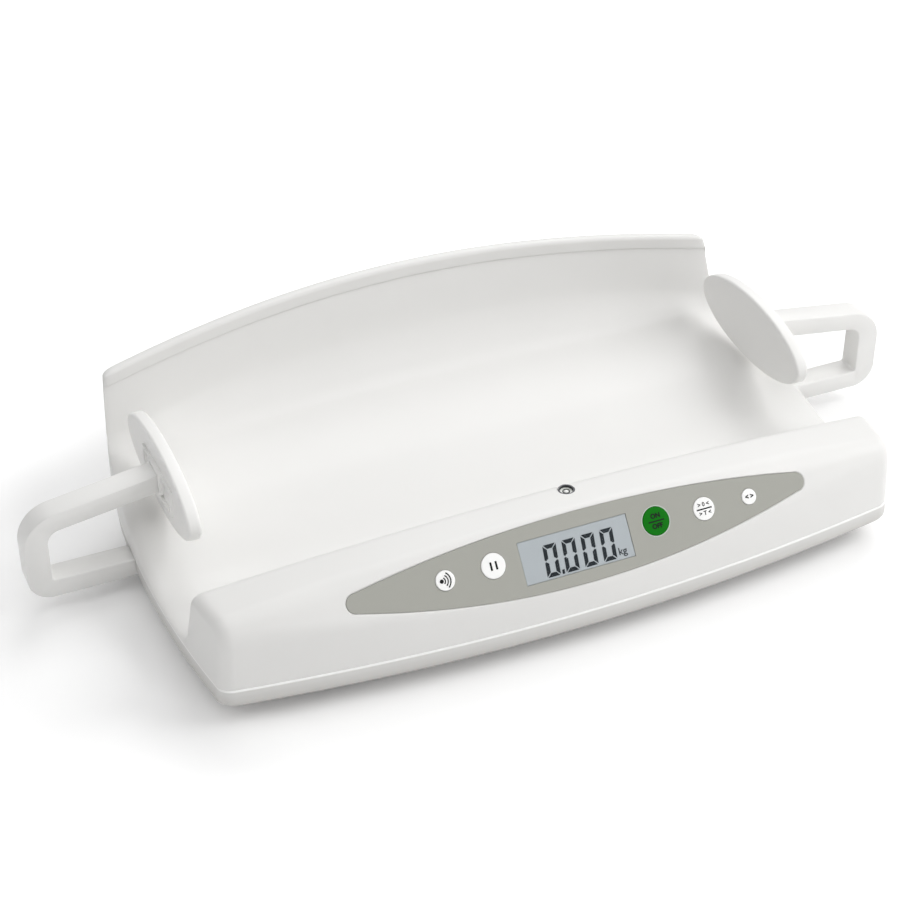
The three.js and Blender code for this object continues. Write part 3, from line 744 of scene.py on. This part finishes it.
def bevelled(target, width, segments=3, angle=bevel_angle):
    edge = target.modifiers.new("edge", "BEVEL")
    edge.width = width * MM
    edge.segments = segments
    edge.angle_limit = radians(angle)
    edge.harden_normals = True
    apply_modifiers(target)
    return target


def finished(target, slot, replaced=(), body="housing", look=None, angle=sharp_angle):
    """Shades a piece, gives it its look and its body, and hides the nodes it stands for."""
    target.data.materials.clear()
    target.data.materials.append(looks[look or slot].material)
    if angle:
        target.data.shade_smooth()
        target.data.set_sharp_from_angle(angle=radians(angle))
    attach(target, body)
    if replaced:
        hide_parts(*replaced)
    return target


quarter = [pi / 2 * i / round_steps for i in range(round_steps + 1)]

# Outlines: rings of corners seen with y to the right and z up, counter-clockwise
corner = namedtuple("corner", "y z radius lift fixed steps parts", defaults=(0, 1, False, 8, 1))


def with_neighbours(corners):
    return zip(corners[-1:] + corners[:-1], corners, corners[1:] + corners[:1])


def direction(start, end):
    run, rise = end.y - start.y, end.z - start.z
    length = hypot(run, rise)
    return run / length, rise / length, length


def inset_corners(corners, inset, rounding=0):
    moved = []
    for before, here, after in with_neighbours(corners):
        ay, az, _ = direction(before, here)
        by, bz, _ = direction(here, after)
        move = inset + rounding * here.lift
        move_a = 0 if before.fixed else move
        move_b = 0 if here.fixed else move
        cross = ay * bz - az * by
        y = here.y + (move_a * by - move_b * ay) / cross
        z = here.z + (move_a * bz - move_b * az) / cross
        radius = max(here.radius + (-move if cross > 0 else move), least_radius) if here.radius else 0
        moved.append(here._replace(y=y, z=z, radius=radius))
    return moved


def rounded_points(corners):
    arcs = []
    for before, here, after in with_neighbours(corners):
        points = []
        if here.radius:
            ay, az, length_a = direction(before, here)
            by, bz, length_b = direction(here, after)
            turn = atan2(ay * bz - az * by, ay * by + az * bz)
            room = room_share * min(length_a, length_b)
            reach = min(here.radius * tan(abs(turn) / 2), room)
            radius = reach / tan(turn / 2)
            cy = here.y - ay * reach - az * radius
            cz = here.z - az * reach + ay * radius
            arm_y, arm_z = az * radius, -ay * radius
            for i in range(here.steps + 1):
                angle = turn * i / here.steps
                y = cy + arm_y * cos(angle) - arm_z * sin(angle)
                points.append((y, cz + arm_y * sin(angle) + arm_z * cos(angle)))
        arcs.append(points or [(here.y, here.z)])
    full = []
    for here, arc, after in zip(corners, arcs, arcs[1:] + arcs[:1]):
        full += arc
        (y0, z0), (y1, z1) = arc[-1], after[0]
        for i in range(1, here.parts):
            share = i / here.parts
            full.append((y0 + (y1 - y0) * share, z0 + (z1 - z0) * share))
    return full


def end_x(y, z):
    bow = end_bow * ((y - end_bow_reach) / end_bow_reach) ** 2
    tuck = end_tuck * max(0, -base_strip - z) / (base_depth - base_strip)
    return half_length - bow - end_draft * z - tuck


def hull(name, outline_at, shorter=0, radius=end_radius, stations=96, end_steps=8):
    """Lofts an outline along x from one end wall to the other, with rounded ends."""
    places = [(-1 + 2 * i / stations, 0) for i in range(stations + 1)]
    if radius:
        for i in range(1, end_steps + 1):
            angle = pi / 2 * i / end_steps
            places.append((1, angle))
            places.insert(0, (-1, angle))
    rings = []
    for u, angle in places:
        rounding = radius * sin(angle)
        reach = abs(u) * (half_length - shorter - radius) + rounding
        share = max(0, 1 - (reach / half_length) ** 2)
        corners = inset_corners(outline_at(share), 0, radius * (1 - cos(angle)))
        ring = []
        for y, z in rounded_points(corners):
            end = end_x(y, z) - shorter
            ring.append((copysign(abs(u) * (end - radius) + rounding, u), y, z))
        rings.append(ring)
    count = len(rings[0])
    faces = side_faces(count, len(rings) * count)
    for i in (0, len(rings) - 1):
        faces += [[i * count + j for j in triangle] for triangle in end_strip(rings[i])]
    return make_object(name, [spot(*point) for ring in rings for point in ring], faces)


def end_strip(ring):
    """Triangles between the lower and the upper run of a ring."""
    count = len(ring)
    depths = [y for _, y, _ in ring]
    front = depths.index(min(depths))
    end = front + (depths.index(max(depths)) - front) % count
    triangles = []
    low, high = front, front + count
    while low < end or high > end:
        below, above = depths[(low + 1) % count], depths[(high - 1) % count]
        take_low = high == end or (low < end and below <= above)
        following = low + 1 if take_low else high - 1
        chosen = [low % count, high % count, following % count]
        if len(set(chosen)) == 3:
            triangles.append(chosen)
        low, high = (following, high) if take_low else (low, following)
    return triangles


def top_outline(share):
    """The tray and console in section. The share is 1 at mid-length and 0 at the end walls."""
    front_y = -front_bow * share
    edge_z = front_edge - front_edge_drop * share ** edge_drop_power
    top_z = console_top + console_crown * share
    top_y = front_y + (top_z - edge_z) / tan(slope)
    bow = back_bow * share
    scoop_y = rim_back - scoop_set_in + bow
    rim_z = rim_height + rim_crown * share
    rim_y = rim_back + bow
    band_y = rim_y - rim_depth - band_lean
    band_z = rim_z - rim_band
    fold_y = rim_back - fold_set_in + fold_bow * share
    fold_r = fold_radius + fold_radius_rise * share
    trough_y = trough_front - trough_bow * share
    inner_y = console_back - console_back_bow * share
    inner_z = console_top - console_dip + (console_crown - console_dip_bow) * share
    top_r = console_radius + console_radius_ends * (1 - share)
    edge_r = edge_radius + edge_radius_ends * (1 - share)
    return [
        corner(front_y, seam_gap, 0, front_lift_share, True, parts=24),
        corner(scoop_y, seam_gap, 0, scoop_lift_share, parts=2),
        corner(scoop_y + scoop_run, scoop_run * scoop_rise, scoop_radius, scoop_run_lift_share, parts=4),
        corner(rim_y - back_wall_lean, rim_z - back_wall_drop, back_wall_radius, scoop_lift_share),
        corner(rim_y, rim_z, rim_radius, rim_lift_share),
        corner(rim_y - rim_depth, rim_z, rim_radius, rim_lift_share),
        corner(band_y, band_z, 0, band_lift_share),
        corner(band_y + rim_proud, band_z - band_step, 0, band_lift_share, parts=4),
        corner(fold_y, fold_height, fold_r, fold_lift_share, steps=16, parts=4),
        corner(tray_mid_y, tray_mid_height, tray_radius, tray_lift_share, parts=4),
        corner(trough_back, trough_floor, tray_radius, trough_lift_share, parts=3),
        corner(trough_y, trough_floor, trough_radius, trough_lift_share, steps=12),
        corner(inner_y, inner_z, console_inner_radius, front_lift_share, steps=10, parts=3),
        corner(top_y, top_z, top_r, front_lift_share, steps=12),
        corner(front_y, edge_z, edge_r, front_lift_share, steps=10, parts=2),
    ]


FOLD, TRAY, INNER, TOP, EDGE = 8, 9, 12, 13, 14


def top_hollow(share):
    """The space under the tray and in the console."""
    outer = inset_corners(top_outline(share), wall)
    back_y = rim_back - scoop_set_in - hollow_set_back + back_bow * share
    floor, floor_back = outer[TRAY], outer[FOLD]
    rise = (floor_back.z - floor.z) / (floor_back.y - floor.y)
    return [
        corner(outer[EDGE].y, -base_depth, 0, 1, True, parts=6),
        corner(back_y, -base_depth),
        corner(back_y, floor.z + rise * (back_y - floor.y)),
        *(place._replace(parts=1) for place in outer[TRAY:]),
    ]


def base_outline(share):
    """The bottom shell in section: a shallow pan with a thin lip, whose back rises with the scoop."""
    front_y = -front_bow * share
    scoop_y = rim_back - scoop_set_in + back_bow * share
    return [
        corner(front_y + base_tuck, -base_depth, base_low_radius, parts=16),
        corner(scoop_y - base_depth / base_rise, -base_depth, base_back_radius, parts=2),
        corner(scoop_y, -seam_gap, 0, scoop_lift_share, True, parts=20),
        corner(front_y - base_lip, -seam_gap, base_lip_radius, front_lift_share, steps=6),
        corner(front_y - base_lip, -base_strip, base_strip_radius, front_lift_share, steps=12),
    ]


def base_hollow(share):
    low, back, seam_back, seam_front, strip = inset_corners(base_outline(share), base_wall + base_lip)
    rise = (seam_back.z - back.z) / (seam_back.y - back.y)
    floor_z = -base_depth + base_wall
    return [
        low._replace(z=floor_z, parts=1),
        back._replace(z=floor_z, parts=1),
        corner(seam_back.y + base_depth / rise, seam_back.z + base_depth, 0, 1, True),
        corner(seam_front.y, seam_front.z + base_depth),
        strip._replace(steps=3),
    ]


def lens(inset=0, steps=72, tip_steps=20):
    """The panel's outline: two flat arcs that meet in small round ends."""
    places = [-1 + 2 * i / steps for i in range(steps + 1)]
    low = [panel_low + inset + panel_low_rise * t * t for t in places]
    high = [panel_high - inset - panel_high_drop * t * t for t in places]
    middle = (low[0] + high[0]) / 2
    radius = (high[0] - low[0]) / 2
    across = [panel_x + panel_reach * t for t in places]
    points = list(zip(across, low))
    for side in (1, -1):
        for i in range(1, tip_steps):
            angle = -pi / 2 + pi * i / tip_steps
            tip_x = panel_x + side * (panel_reach + radius * cos(angle))
            points.append((tip_x, middle + side * radius * sin(angle)))
        if side > 0:
            points += zip(across[::-1], high[::-1])
    return points


# The shells
level_outline = top_outline(1 - (level_x / half_length) ** 2)
level_front, level_back = level_outline[TOP], level_outline[INNER]
level_share = (level_y - level_front.y) / (level_back.y - level_front.y)
level_top = level_front.z + (level_back.z - level_front.z) * level_share + level_lift


def display_block(name, margin, depths):
    """A block over the display's window, wider than it all round by a margin."""
    rise = around(display_s, display_height / 2 + margin)
    return block(name, around(display_x, display_length / 2 + margin), rise, depths, on_panel)


def key_holes(margin):
    deep = (-overrun, overrun)
    return [post("hole", radius + margin, x, s, *deep, on_panel) for x, s, radius in keys.values()]


def roof(share):
    return inset_corners(top_outline(share), roof_inset)


def top_shell():
    shell = hull("top_shell_skin", top_outline)
    combine(shell, [hull("hollow", top_hollow, wall, 0, hollow_stations)])
    boss_low = -base_depth + base_wall + 2 * gap
    for x, y in screw_places:
        boss = post("boss", boss_radius, x, y, boss_low, 2 * rim_height)
        combine(boss, [hull("roof", roof, roof_inset, 0, hollow_stations)], "INTERSECT")
        combine(boss, [post("lower", boss_radius, x, y, boss_low, boss_overlap)], "UNION")
        combine(boss, [post("hole", screw_radius + gap, x, y, boss_low - overrun, boss_low + screw_length)])
        combine(shell, [boss], "UNION")
    for x in around(board_x, post_x):
        for s in around(board_s, post_s):
            pillar = post("pillar", post_radius, x, s, board_top + gap, -panel_thickness, on_panel)
            combine(shell, [pillar], "UNION")
    deep = -panel_thickness - gap
    brim = recess_chamfer / 2
    narrow = lens(-gap)
    wide = lens(-gap - recess_chamfer)
    layers = [(narrow, deep), (narrow, -brim), (wide, brim), (wide, 2 * overrun)]
    depths = (-overrun - display_thickness, window_overrun)
    tools = [stack("recess", layers, on_panel), display_block("window", window_margin, depths)]
    tools += key_holes(2 * gap)
    seat_low = level_top - level_depth
    tools.append(post("seat", level_radius + gap, level_x, level_y, seat_low, level_top + overrun))
    return combine(shell, tools)


finished(top_shell(), "shell_white", ["top_shell"], angle=shell_sharp_angle)

bay_span = around(bay_x, bay_length / 2)


def rail(side):
    inner = bay_depth / 2 + gap
    near, far = bay_y + side * inner, bay_y + side * (inner + rail_wall)
    lip = bay_y + side * (inner - rail_lip)
    low = -base_depth - rail_drop
    return [
        block("web", bay_span, sorted((near, far)), (low, -base_depth + rail_root)),
        block("lip", bay_span, sorted((lip, far)), (low, low + rail_lip_depth)),
    ]


def bottom_shell():
    shell = hull("bottom_shell_skin", base_outline)
    combine(shell, [hull("hollow", base_hollow, base_wall, 0, hollow_stations)])
    slot_y = around(arm_y, arm_width / 2 + 2 * gap)
    slot_z = around(arm_low, arm_height / 2 + 2 * gap)
    tools = []
    for side in (-1, 1):
        slot_x = around(side * (half_length - slot_inset), slot_depth / 2)
        tools.append(block("slot", slot_x, slot_y, slot_z))
        corner_y, corner_z = slot_y[1] - gap, slot_z[1] - gap
        tools.append(post("notch", slot_notch, corner_y, corner_z, *slot_x, lambda y, z, x: spot(x, y, z)))
    tools.append(block("bay", bay_span, around(bay_y, bay_depth / 2), around(-base_depth, overrun / 2)))
    combine(shell, tools)
    combine(shell, rail(-1) + rail(1), "UNION")
    holes = []
    for x, y in screw_places:
        recess = -base_depth + screw_head_depth + gap
        holes.append(post("hole", screw_radius + gap, x, y, -base_depth - overrun, 0))
        holes.append(post("recess", screw_head_radius + gap, x, y, -base_depth - overrun, recess))
    return combine(shell, holes)


finished(bottom_shell(), "shell_white", ["bottom_shell"], look="base_white", angle=shell_sharp_angle)


# The panel, its window, the display and the keys
def panel_plate():
    plate = prism("panel_plate", lens(), -panel_thickness, 0, on_panel)
    combine(plate, [display_block("window", 0, (-overrun, overrun))] + key_holes(gap))
    return bevelled(plate, panel_edge, segments=2, angle=steep_bevel_angle)


finished(panel_plate(), "panel_grey", ["control_panel"], angle=0)

pane = display_block("window_pane", -gap, (-pane_thickness, 0))
finished(bevelled(pane, panel_edge / 2, segments=2), "display_glass", ["display_window"], angle=0)
face = display_block("display_face", -gap, (-face_back, -face_depth))
finished(bevelled(face, panel_edge / 2, segments=2), "display_grey", angle=0)


def leaned(shape):
    """A stroke on the display, leaned to the right."""
    points = [(x + digit_lean_share * (s - digit_low_s), s) for x, s in shape]
    return prism("stroke", points, digit_low, digit_high, on_panel)


def segments(left):
    """The outlines of a seven-segment zero, without its middle bar."""
    right, low = left + digit_width, digit_low_s
    middle, high = low + digit_height / 2, low + digit_height
    shapes = []
    for outer, inward in ((low, 1), (high, -1)):
        far = outer + inward * digit_stroke
        shapes.append([
            (left + 2 * digit_gap, outer), (right - 2 * digit_gap, outer),
            (right - digit_stroke - digit_gap, far), (left + digit_stroke + digit_gap, far),
        ])
    for outer, inward in ((left, 1), (right, -1)):
        inner = outer + inward * digit_stroke
        for start, end, way in ((low, middle, 1), (high, middle, -1)):
            shapes.append([
                (outer, start + way * 2 * digit_gap), (inner, start + way * (digit_stroke + 2 * digit_gap)),
                (inner, end - way * (digit_stroke / 2 + digit_gap)),
                (outer + inward * digit_tip, end - way * digit_gap),
                (outer, end - way * digit_tip),
            ])
    return shapes


def joined(name, objects):
    """Puts several meshes in one object."""
    gathered = bmesh.new()
    for item in objects:
        gathered.from_mesh(item.data)
        bpy.data.objects.remove(item)
    mesh = bpy.data.meshes.new(name)
    gathered.to_mesh(mesh)
    gathered.free()
    return linked(name, mesh)


def wording(text, size, bold, x, s, low=mark_low, high=mark_high):
    """Flat letters or digits as a thin mesh, centred at x, s on the panel."""
    curve = bpy.data.curves.new("words", "FONT")
    curve.body = text
    curve.size = size
    curve.align_x = curve.align_y = "CENTER"
    curve.extrude = (high - low) / 2
    curve.offset = bold
    letters = linked("words", curve)
    mesh = evaluated_mesh(letters)
    bpy.data.objects.remove(letters)
    middle = (low + high) / 2
    for point in mesh.vertices:
        point.co = on_panel(x + point.co.x, s + point.co.y, middle + point.co.z)
    return linked("words", mesh)


lefts = [digit_first_x + k * digit_pitch for k in range(digit_count)]
digits = [leaned(shape) for left in lefts for shape in segments(left)]
point_x = digit_first_x + digit_width + point_set_in
corners = ((0, 0), (point_size, 0), (point_size, point_height), (0, point_height))
digits.append(leaned([(point_x + x, digit_low_s + s) for x, s in corners]))
digits.append(wording("kg", unit_size, unit_bold, unit_x, unit_s, digit_low, digit_high))
finished(joined("display_digits", digits), "display_grey", look="digit_black", angle=0)


def key_cap(name, x, s, radius):
    """A key turned in one piece: crowned cap, flange and stem."""
    flange_low = -flange_top - flange_thickness
    stem_low = flange_low - stem_length
    profile = [
        (0, stem_low), (stem_radius, stem_low), (stem_radius, flange_low), (radius + key_flange, flange_low),
        (radius + key_flange, -flange_top), (radius, -flange_top),
    ]
    for angle in quarter:
        height = key_proud - key_crown - key_edge * (1 - sin(angle))
        profile.append((radius - key_edge * (1 - cos(angle)), height))
    for i in range(1, round_steps + 1):
        share = 1 - i / round_steps
        profile.append(((radius - key_edge) * share, key_proud - key_crown * share ** 2))
    return lathe(f"{name}_cap", profile, x, s, on_panel, key_sides)


for name, (x, s, radius) in keys.items():
    colour = "key_green" if name == "on_off" else "key_white"
    finished(key_cap(name, x, s, radius), colour, [f"{name}_key"], f"{name}_key")

x, s, radius = keys["on_off"]
inner, outer = radius + gap, radius + gap + ring_width
ring = lathe("on_off_bezel", [
    (inner, -panel_thickness), (outer, -panel_thickness), (outer, ring_proud / 2),
    (outer - ring_proud, ring_proud), (inner + ring_proud, ring_proud), (inner, ring_proud / 2),
], x, s, on_panel, key_sides)
finished(ring, "panel_grey", look="ring_pale")


def bar(x, s, length, height):
    return block("bar", around(x, length / 2), around(s, height / 2), (mark_low, mark_high), on_panel)


def arc(x, s, radius, steps=16):
    """A stroke that follows a circle round x, s."""
    angles = [arc_half_angle * (2 * i / steps - 1) for i in range(steps + 1)]
    outline = []
    for r, order in ((radius - arc_thickness / 2, angles), (radius + arc_thickness / 2, reversed(angles))):
        outline += [(x + r * cos(angle), s + r * sin(angle)) for angle in order]
    return prism("arc", outline, mark_low, mark_high, on_panel)


def marks(name, pieces):
    finished(joined(f"{name}_marks", pieces), "black_plastic", (), f"{name}_key", "mark_black", 0)


for name, (upper, lower, size, bold, set_out, line) in worded_signs.items():
    x, s, _ = keys[name]
    marks(name, [
        wording(upper, size, bold, x, s + set_out),
        bar(x, s, line, line_thickness),
        wording(lower, size, bold, x, s - set_out),
    ])
x, s, _ = keys["length_weight"]
marks("length_weight", [wording("< >", swap_size, letter_bold, x, s)])
x, s, _ = keys["hold"]
marks("hold", [bar(x + way * pause_set_out, s, pause_width, pause_height) for way in (-1, 1)])
x, s, _ = keys["sound"]
dot_x = x - dot_set_out
arcs = [arc(dot_x, s, arc_first + arc_pitch * k) for k in range(arc_count)]
marks("sound", [post("dot", dot_radius, dot_x, s, mark_low, mark_high, on_panel)] + arcs)


# The level: a dark cup with a sunken pale face, a ring and a bubble
cup_inner = level_radius - level_rim
cup_low = level_top - level_depth
cup_high = level_top - level_edge
face_high = level_top - level_sink
cup = lathe("level_cup", [
    (0, cup_low), (level_radius, cup_low), (level_radius, cup_high), (level_radius - level_edge, level_top),
    (cup_inner + level_edge, level_top), (cup_inner, cup_high), (cup_inner, face_high - gap),
    (0, face_high - gap),
], level_x, level_y)
finished(cup, "steel", ["level_housing"], look="dark_steel")
face_low = face_high - face_thickness
face = post("level_face", cup_inner - gap, level_x, level_y, face_low, face_high, sides=turned_sides)
finished(face, "level_fluid", ["level_vial"])
ring_high = face_high + level_ring_height
ring = lathe("level_ring", [
    (level_ring_inner, face_high), (level_ring_outer, face_high), (level_ring_outer, ring_high),
    (level_ring_inner, ring_high),
], level_x, level_y)
finished(ring, "black_plastic", look="mark_black")
dome = [(0, face_high)]
for angle in quarter[:-1]:
    dome.append((bubble_radius * cos(angle), face_high + bubble_height * sin(angle)))
dome.append((0, face_high + bubble_height))
finished(lathe("level_bubble", dome, level_x, level_y), "level_fluid", look="bubble_pale")


# The slides
def handle_top_at(x):
    return handle_top + handle_rise * (arm_outer - x)


def handle_outline():
    bottom = arm_low - arm_height / 2
    top = arm_low + arm_height / 2
    inside_x = arm_outer - handle_upright
    tip_x = disc_inner + disc_thickness + gap
    return rounded_points([
        corner(arm_inner_end, bottom),
        corner(arm_outer, bottom, handle_low_radius, steps=12),
        corner(arm_outer, handle_top_at(arm_outer), handle_top_radius, steps=16),
        corner(tip_x, handle_top_at(tip_x)),
        corner(tip_x, handle_top_at(tip_x) - arm_height),
        corner(inside_x, handle_top_at(inside_x) - arm_height, window_top_radius, steps=12),
        corner(inside_x, top, window_low_radius, steps=4),
        corner(arm_inner_end, top),
    ])


def on_side(side, inward):
    """Places a point of the right slide's (x, z, y) on either side."""
    return lambda x, z, y: spot(side * (x - inward), y, z)


def slide_arm(word, place):
    piece = prism(f"{word}_slide_bar", handle_outline(), *around(arm_y, arm_width / 2), place)
    bevelled(piece, arm_bevel, segments=4, angle=steep_bevel_angle)
    strip_top = arm_low + arm_height / 2 - gap
    groove_x = (arm_inner_end + strip_inset - gap, guide_outer - strip_inset + gap)
    groove_z = (strip_top - strip_thickness - gap, strip_top + overrun)
    groove_y = around(arm_y, strip_width / 2 + gap)
    return combine(piece, [block("groove", groove_x, groove_z, groove_y, place)])


def arm_sleeve(name, x0, x1, margin, place):
    outline = [
        (x0, handle_top_at(x0) - arm_height - margin), (x1, handle_top_at(x1) - arm_height - margin),
        (x1, handle_top_at(x1) + margin), (x0, handle_top_at(x0) + margin),
    ]
    return prism(name, outline, *around(arm_y, arm_width / 2 + margin), place)


def oval_plate(name, place):
    """An oval plate whose rim is rounded on both sides."""
    layers = []
    for angle in quarter:
        inset = disc_edge * (1 - sin(angle))
        depth = disc_edge * (1 - cos(angle))
        for x in (disc_inner + depth, disc_inner + disc_thickness - depth):
            layers.append((x, disc_half_depth - inset, disc_half_height - inset))
    layers.sort()
    turns = [2 * pi * k / disc_sides for k in range(disc_sides)]
    return stack(name, [
        ([(disc_y + depth * cos(t), disc_z + height * sin(t)) for t in turns], x)
        for x, depth, height in layers
    ], lambda y, z, x: place(x, z, y))


def stop_disc(word, place):
    outer = disc_inner + disc_thickness

    def frame_block(name, x0, x1, less):
        rise = around(disc_z, rib_half_height - less)
        return block(name, (x0, x1), rise, around(arm_y, rib_half_depth - less), place)

    ribs = bevelled(frame_block("ribs", outer - rib_root, outer + rib_proud, 0), rib_edge, segments=2)
    combine(ribs, [frame_block("well", outer, outer + overrun, rib_width)])
    plate = combine(oval_plate(f"{word}_stop_plate", place), [ribs], "UNION")
    collar = arm_sleeve("collar", outer - collar_root, outer + collar_proud, collar_margin, place)
    combine(plate, [bevelled(collar, collar_edge)], "UNION")
    return combine(plate, [arm_sleeve("socket", outer, outer + 2 * collar_proud, gap, place)])


for side, word in ((-1, "left"), (1, "right")):
    body = f"{word}_slide"
    place = on_side(side, slide_in[word])
    finished(slide_arm(word, place), "slide_white", [f"{word}_slide_arm"], body)
    stop = stop_disc(word, place)
    finished(stop, "slide_white", [f"{word}_stop_disc"], body, "disc_white", disc_sharp_angle)


# Underneath: feet in their cups, screws and the battery cover
cup_top = -base_depth - gap
pocket_top = cup_top - cup_roof
cell_top = pocket_top - gap
pad_top = cell_top - cell_thickness - gap
floor_z = -base_depth - foot_height
cup_low = cup_top - cup_depth
for name, (x, y) in foot_places.items():
    pocket = cup_radius - cup_wall
    cup = lathe(f"{name}_cup", [
        (0, cup_top), (cup_radius - cup_edge, cup_top), (cup_radius, cup_top - cup_edge),
        (cup_radius, cup_low + cup_edge), (cup_radius - cup_edge, cup_low), (pocket + cup_edge, cup_low),
        (pocket, cup_low + cup_edge), (pocket, pocket_top), (0, pocket_top),
    ], x, y)
    finished(cup, "grey_plastic", [f"{name}_foot_cup"])
    profile = [(0, floor_z)]
    for k in range(1, groove_count + 1):
        middle = pad_radius * k / (groove_count + 1)
        profile += [
            (middle - groove_width / 2, floor_z), (middle - groove_width / 4, floor_z + groove_depth),
            (middle + groove_width / 4, floor_z + groove_depth), (middle + groove_width / 2, floor_z),
        ]
    profile += [
        (pad_radius - pad_edge, floor_z), (pad_radius, floor_z + pad_edge), (pad_radius, pad_top - pad_edge),
        (pad_radius - pad_edge, pad_top), (stud_radius, pad_top), (stud_radius, cell_top - stud_set_in),
        (0, cell_top - stud_set_in),
    ]
    pad = lathe(f"{name}_pad", profile, x, y)
    finished(pad, "dark_rubber", [f"{name}_foot"], f"{name}_foot")


def screw(name, x, y):
    low = -base_depth + gap
    high = -base_depth + screw_head_depth
    tip = -base_depth + screw_length
    piece = lathe(name, [
        (0, low), (screw_head_radius - screw_head_edge, low), (screw_head_radius, low + screw_head_edge),
        (screw_head_radius, high), (screw_radius, high), (screw_radius, tip), (0, tip),
    ], x, y, sides=screw_sides)
    reach, half = screw_cross / 2, screw_cross_width / 2
    depth = (low - overrun, low + screw_cross_depth)
    slots = [block("slot", around(x, a), around(y, b), depth) for a, b in ((reach, half), (half, reach))]
    return combine(piece, slots)


for k, (x, y) in enumerate(screw_places, 1):
    finished(screw(f"screw_{k}", x, y), "steel", [f"shell_screw_{k}"])

cover_top = -base_depth - gap
cover_low = cover_top - cover_thickness
cover_x = around(bay_x, bay_length / 2 - gap)
cover_y = around(bay_y, bay_depth / 2 - gap)
lid = bevelled(block("battery_lid", cover_x, cover_y, (cover_low, cover_top)), cover_edge)
for k in range(grip_count):
    grip_x = bay_x + bay_length / 2 - grip_inset + grip_pitch * k
    span = around(grip_x, grip_width / 2)
    combine(lid, [block("grip", span, around(bay_y, grip_length / 2), around(cover_low, grip_depth))])
finished(lid, "shell_white", ["battery_cover"], "battery_cover")


# The floor
ground = Look("floor_white", (1, 1, 1), floor_roughness)
ground.worn(*floor_wear)
oval = ground.stretched((1 / oval_x, 1 / oval_y, 0))
away = wired(ground.tree, "VectorMath", {0: oval}, "LENGTH", "Value")
glow = ground.remap(away, glow_near, glow_far, 1, glow_far_share)
seen = wired(ground.tree, "LightPath", {}, output="Is Camera Ray")
ground.link(wired(ground.tree, "Math", {0: glow, 1: seen}, "MULTIPLY"), "Emission Strength")
span = (-floor_half, floor_half)
floor = block("studio_floor", span, span, (-floor_thickness, 0), lambda *point: Vector(point))
floor.data.materials.append(ground.material)
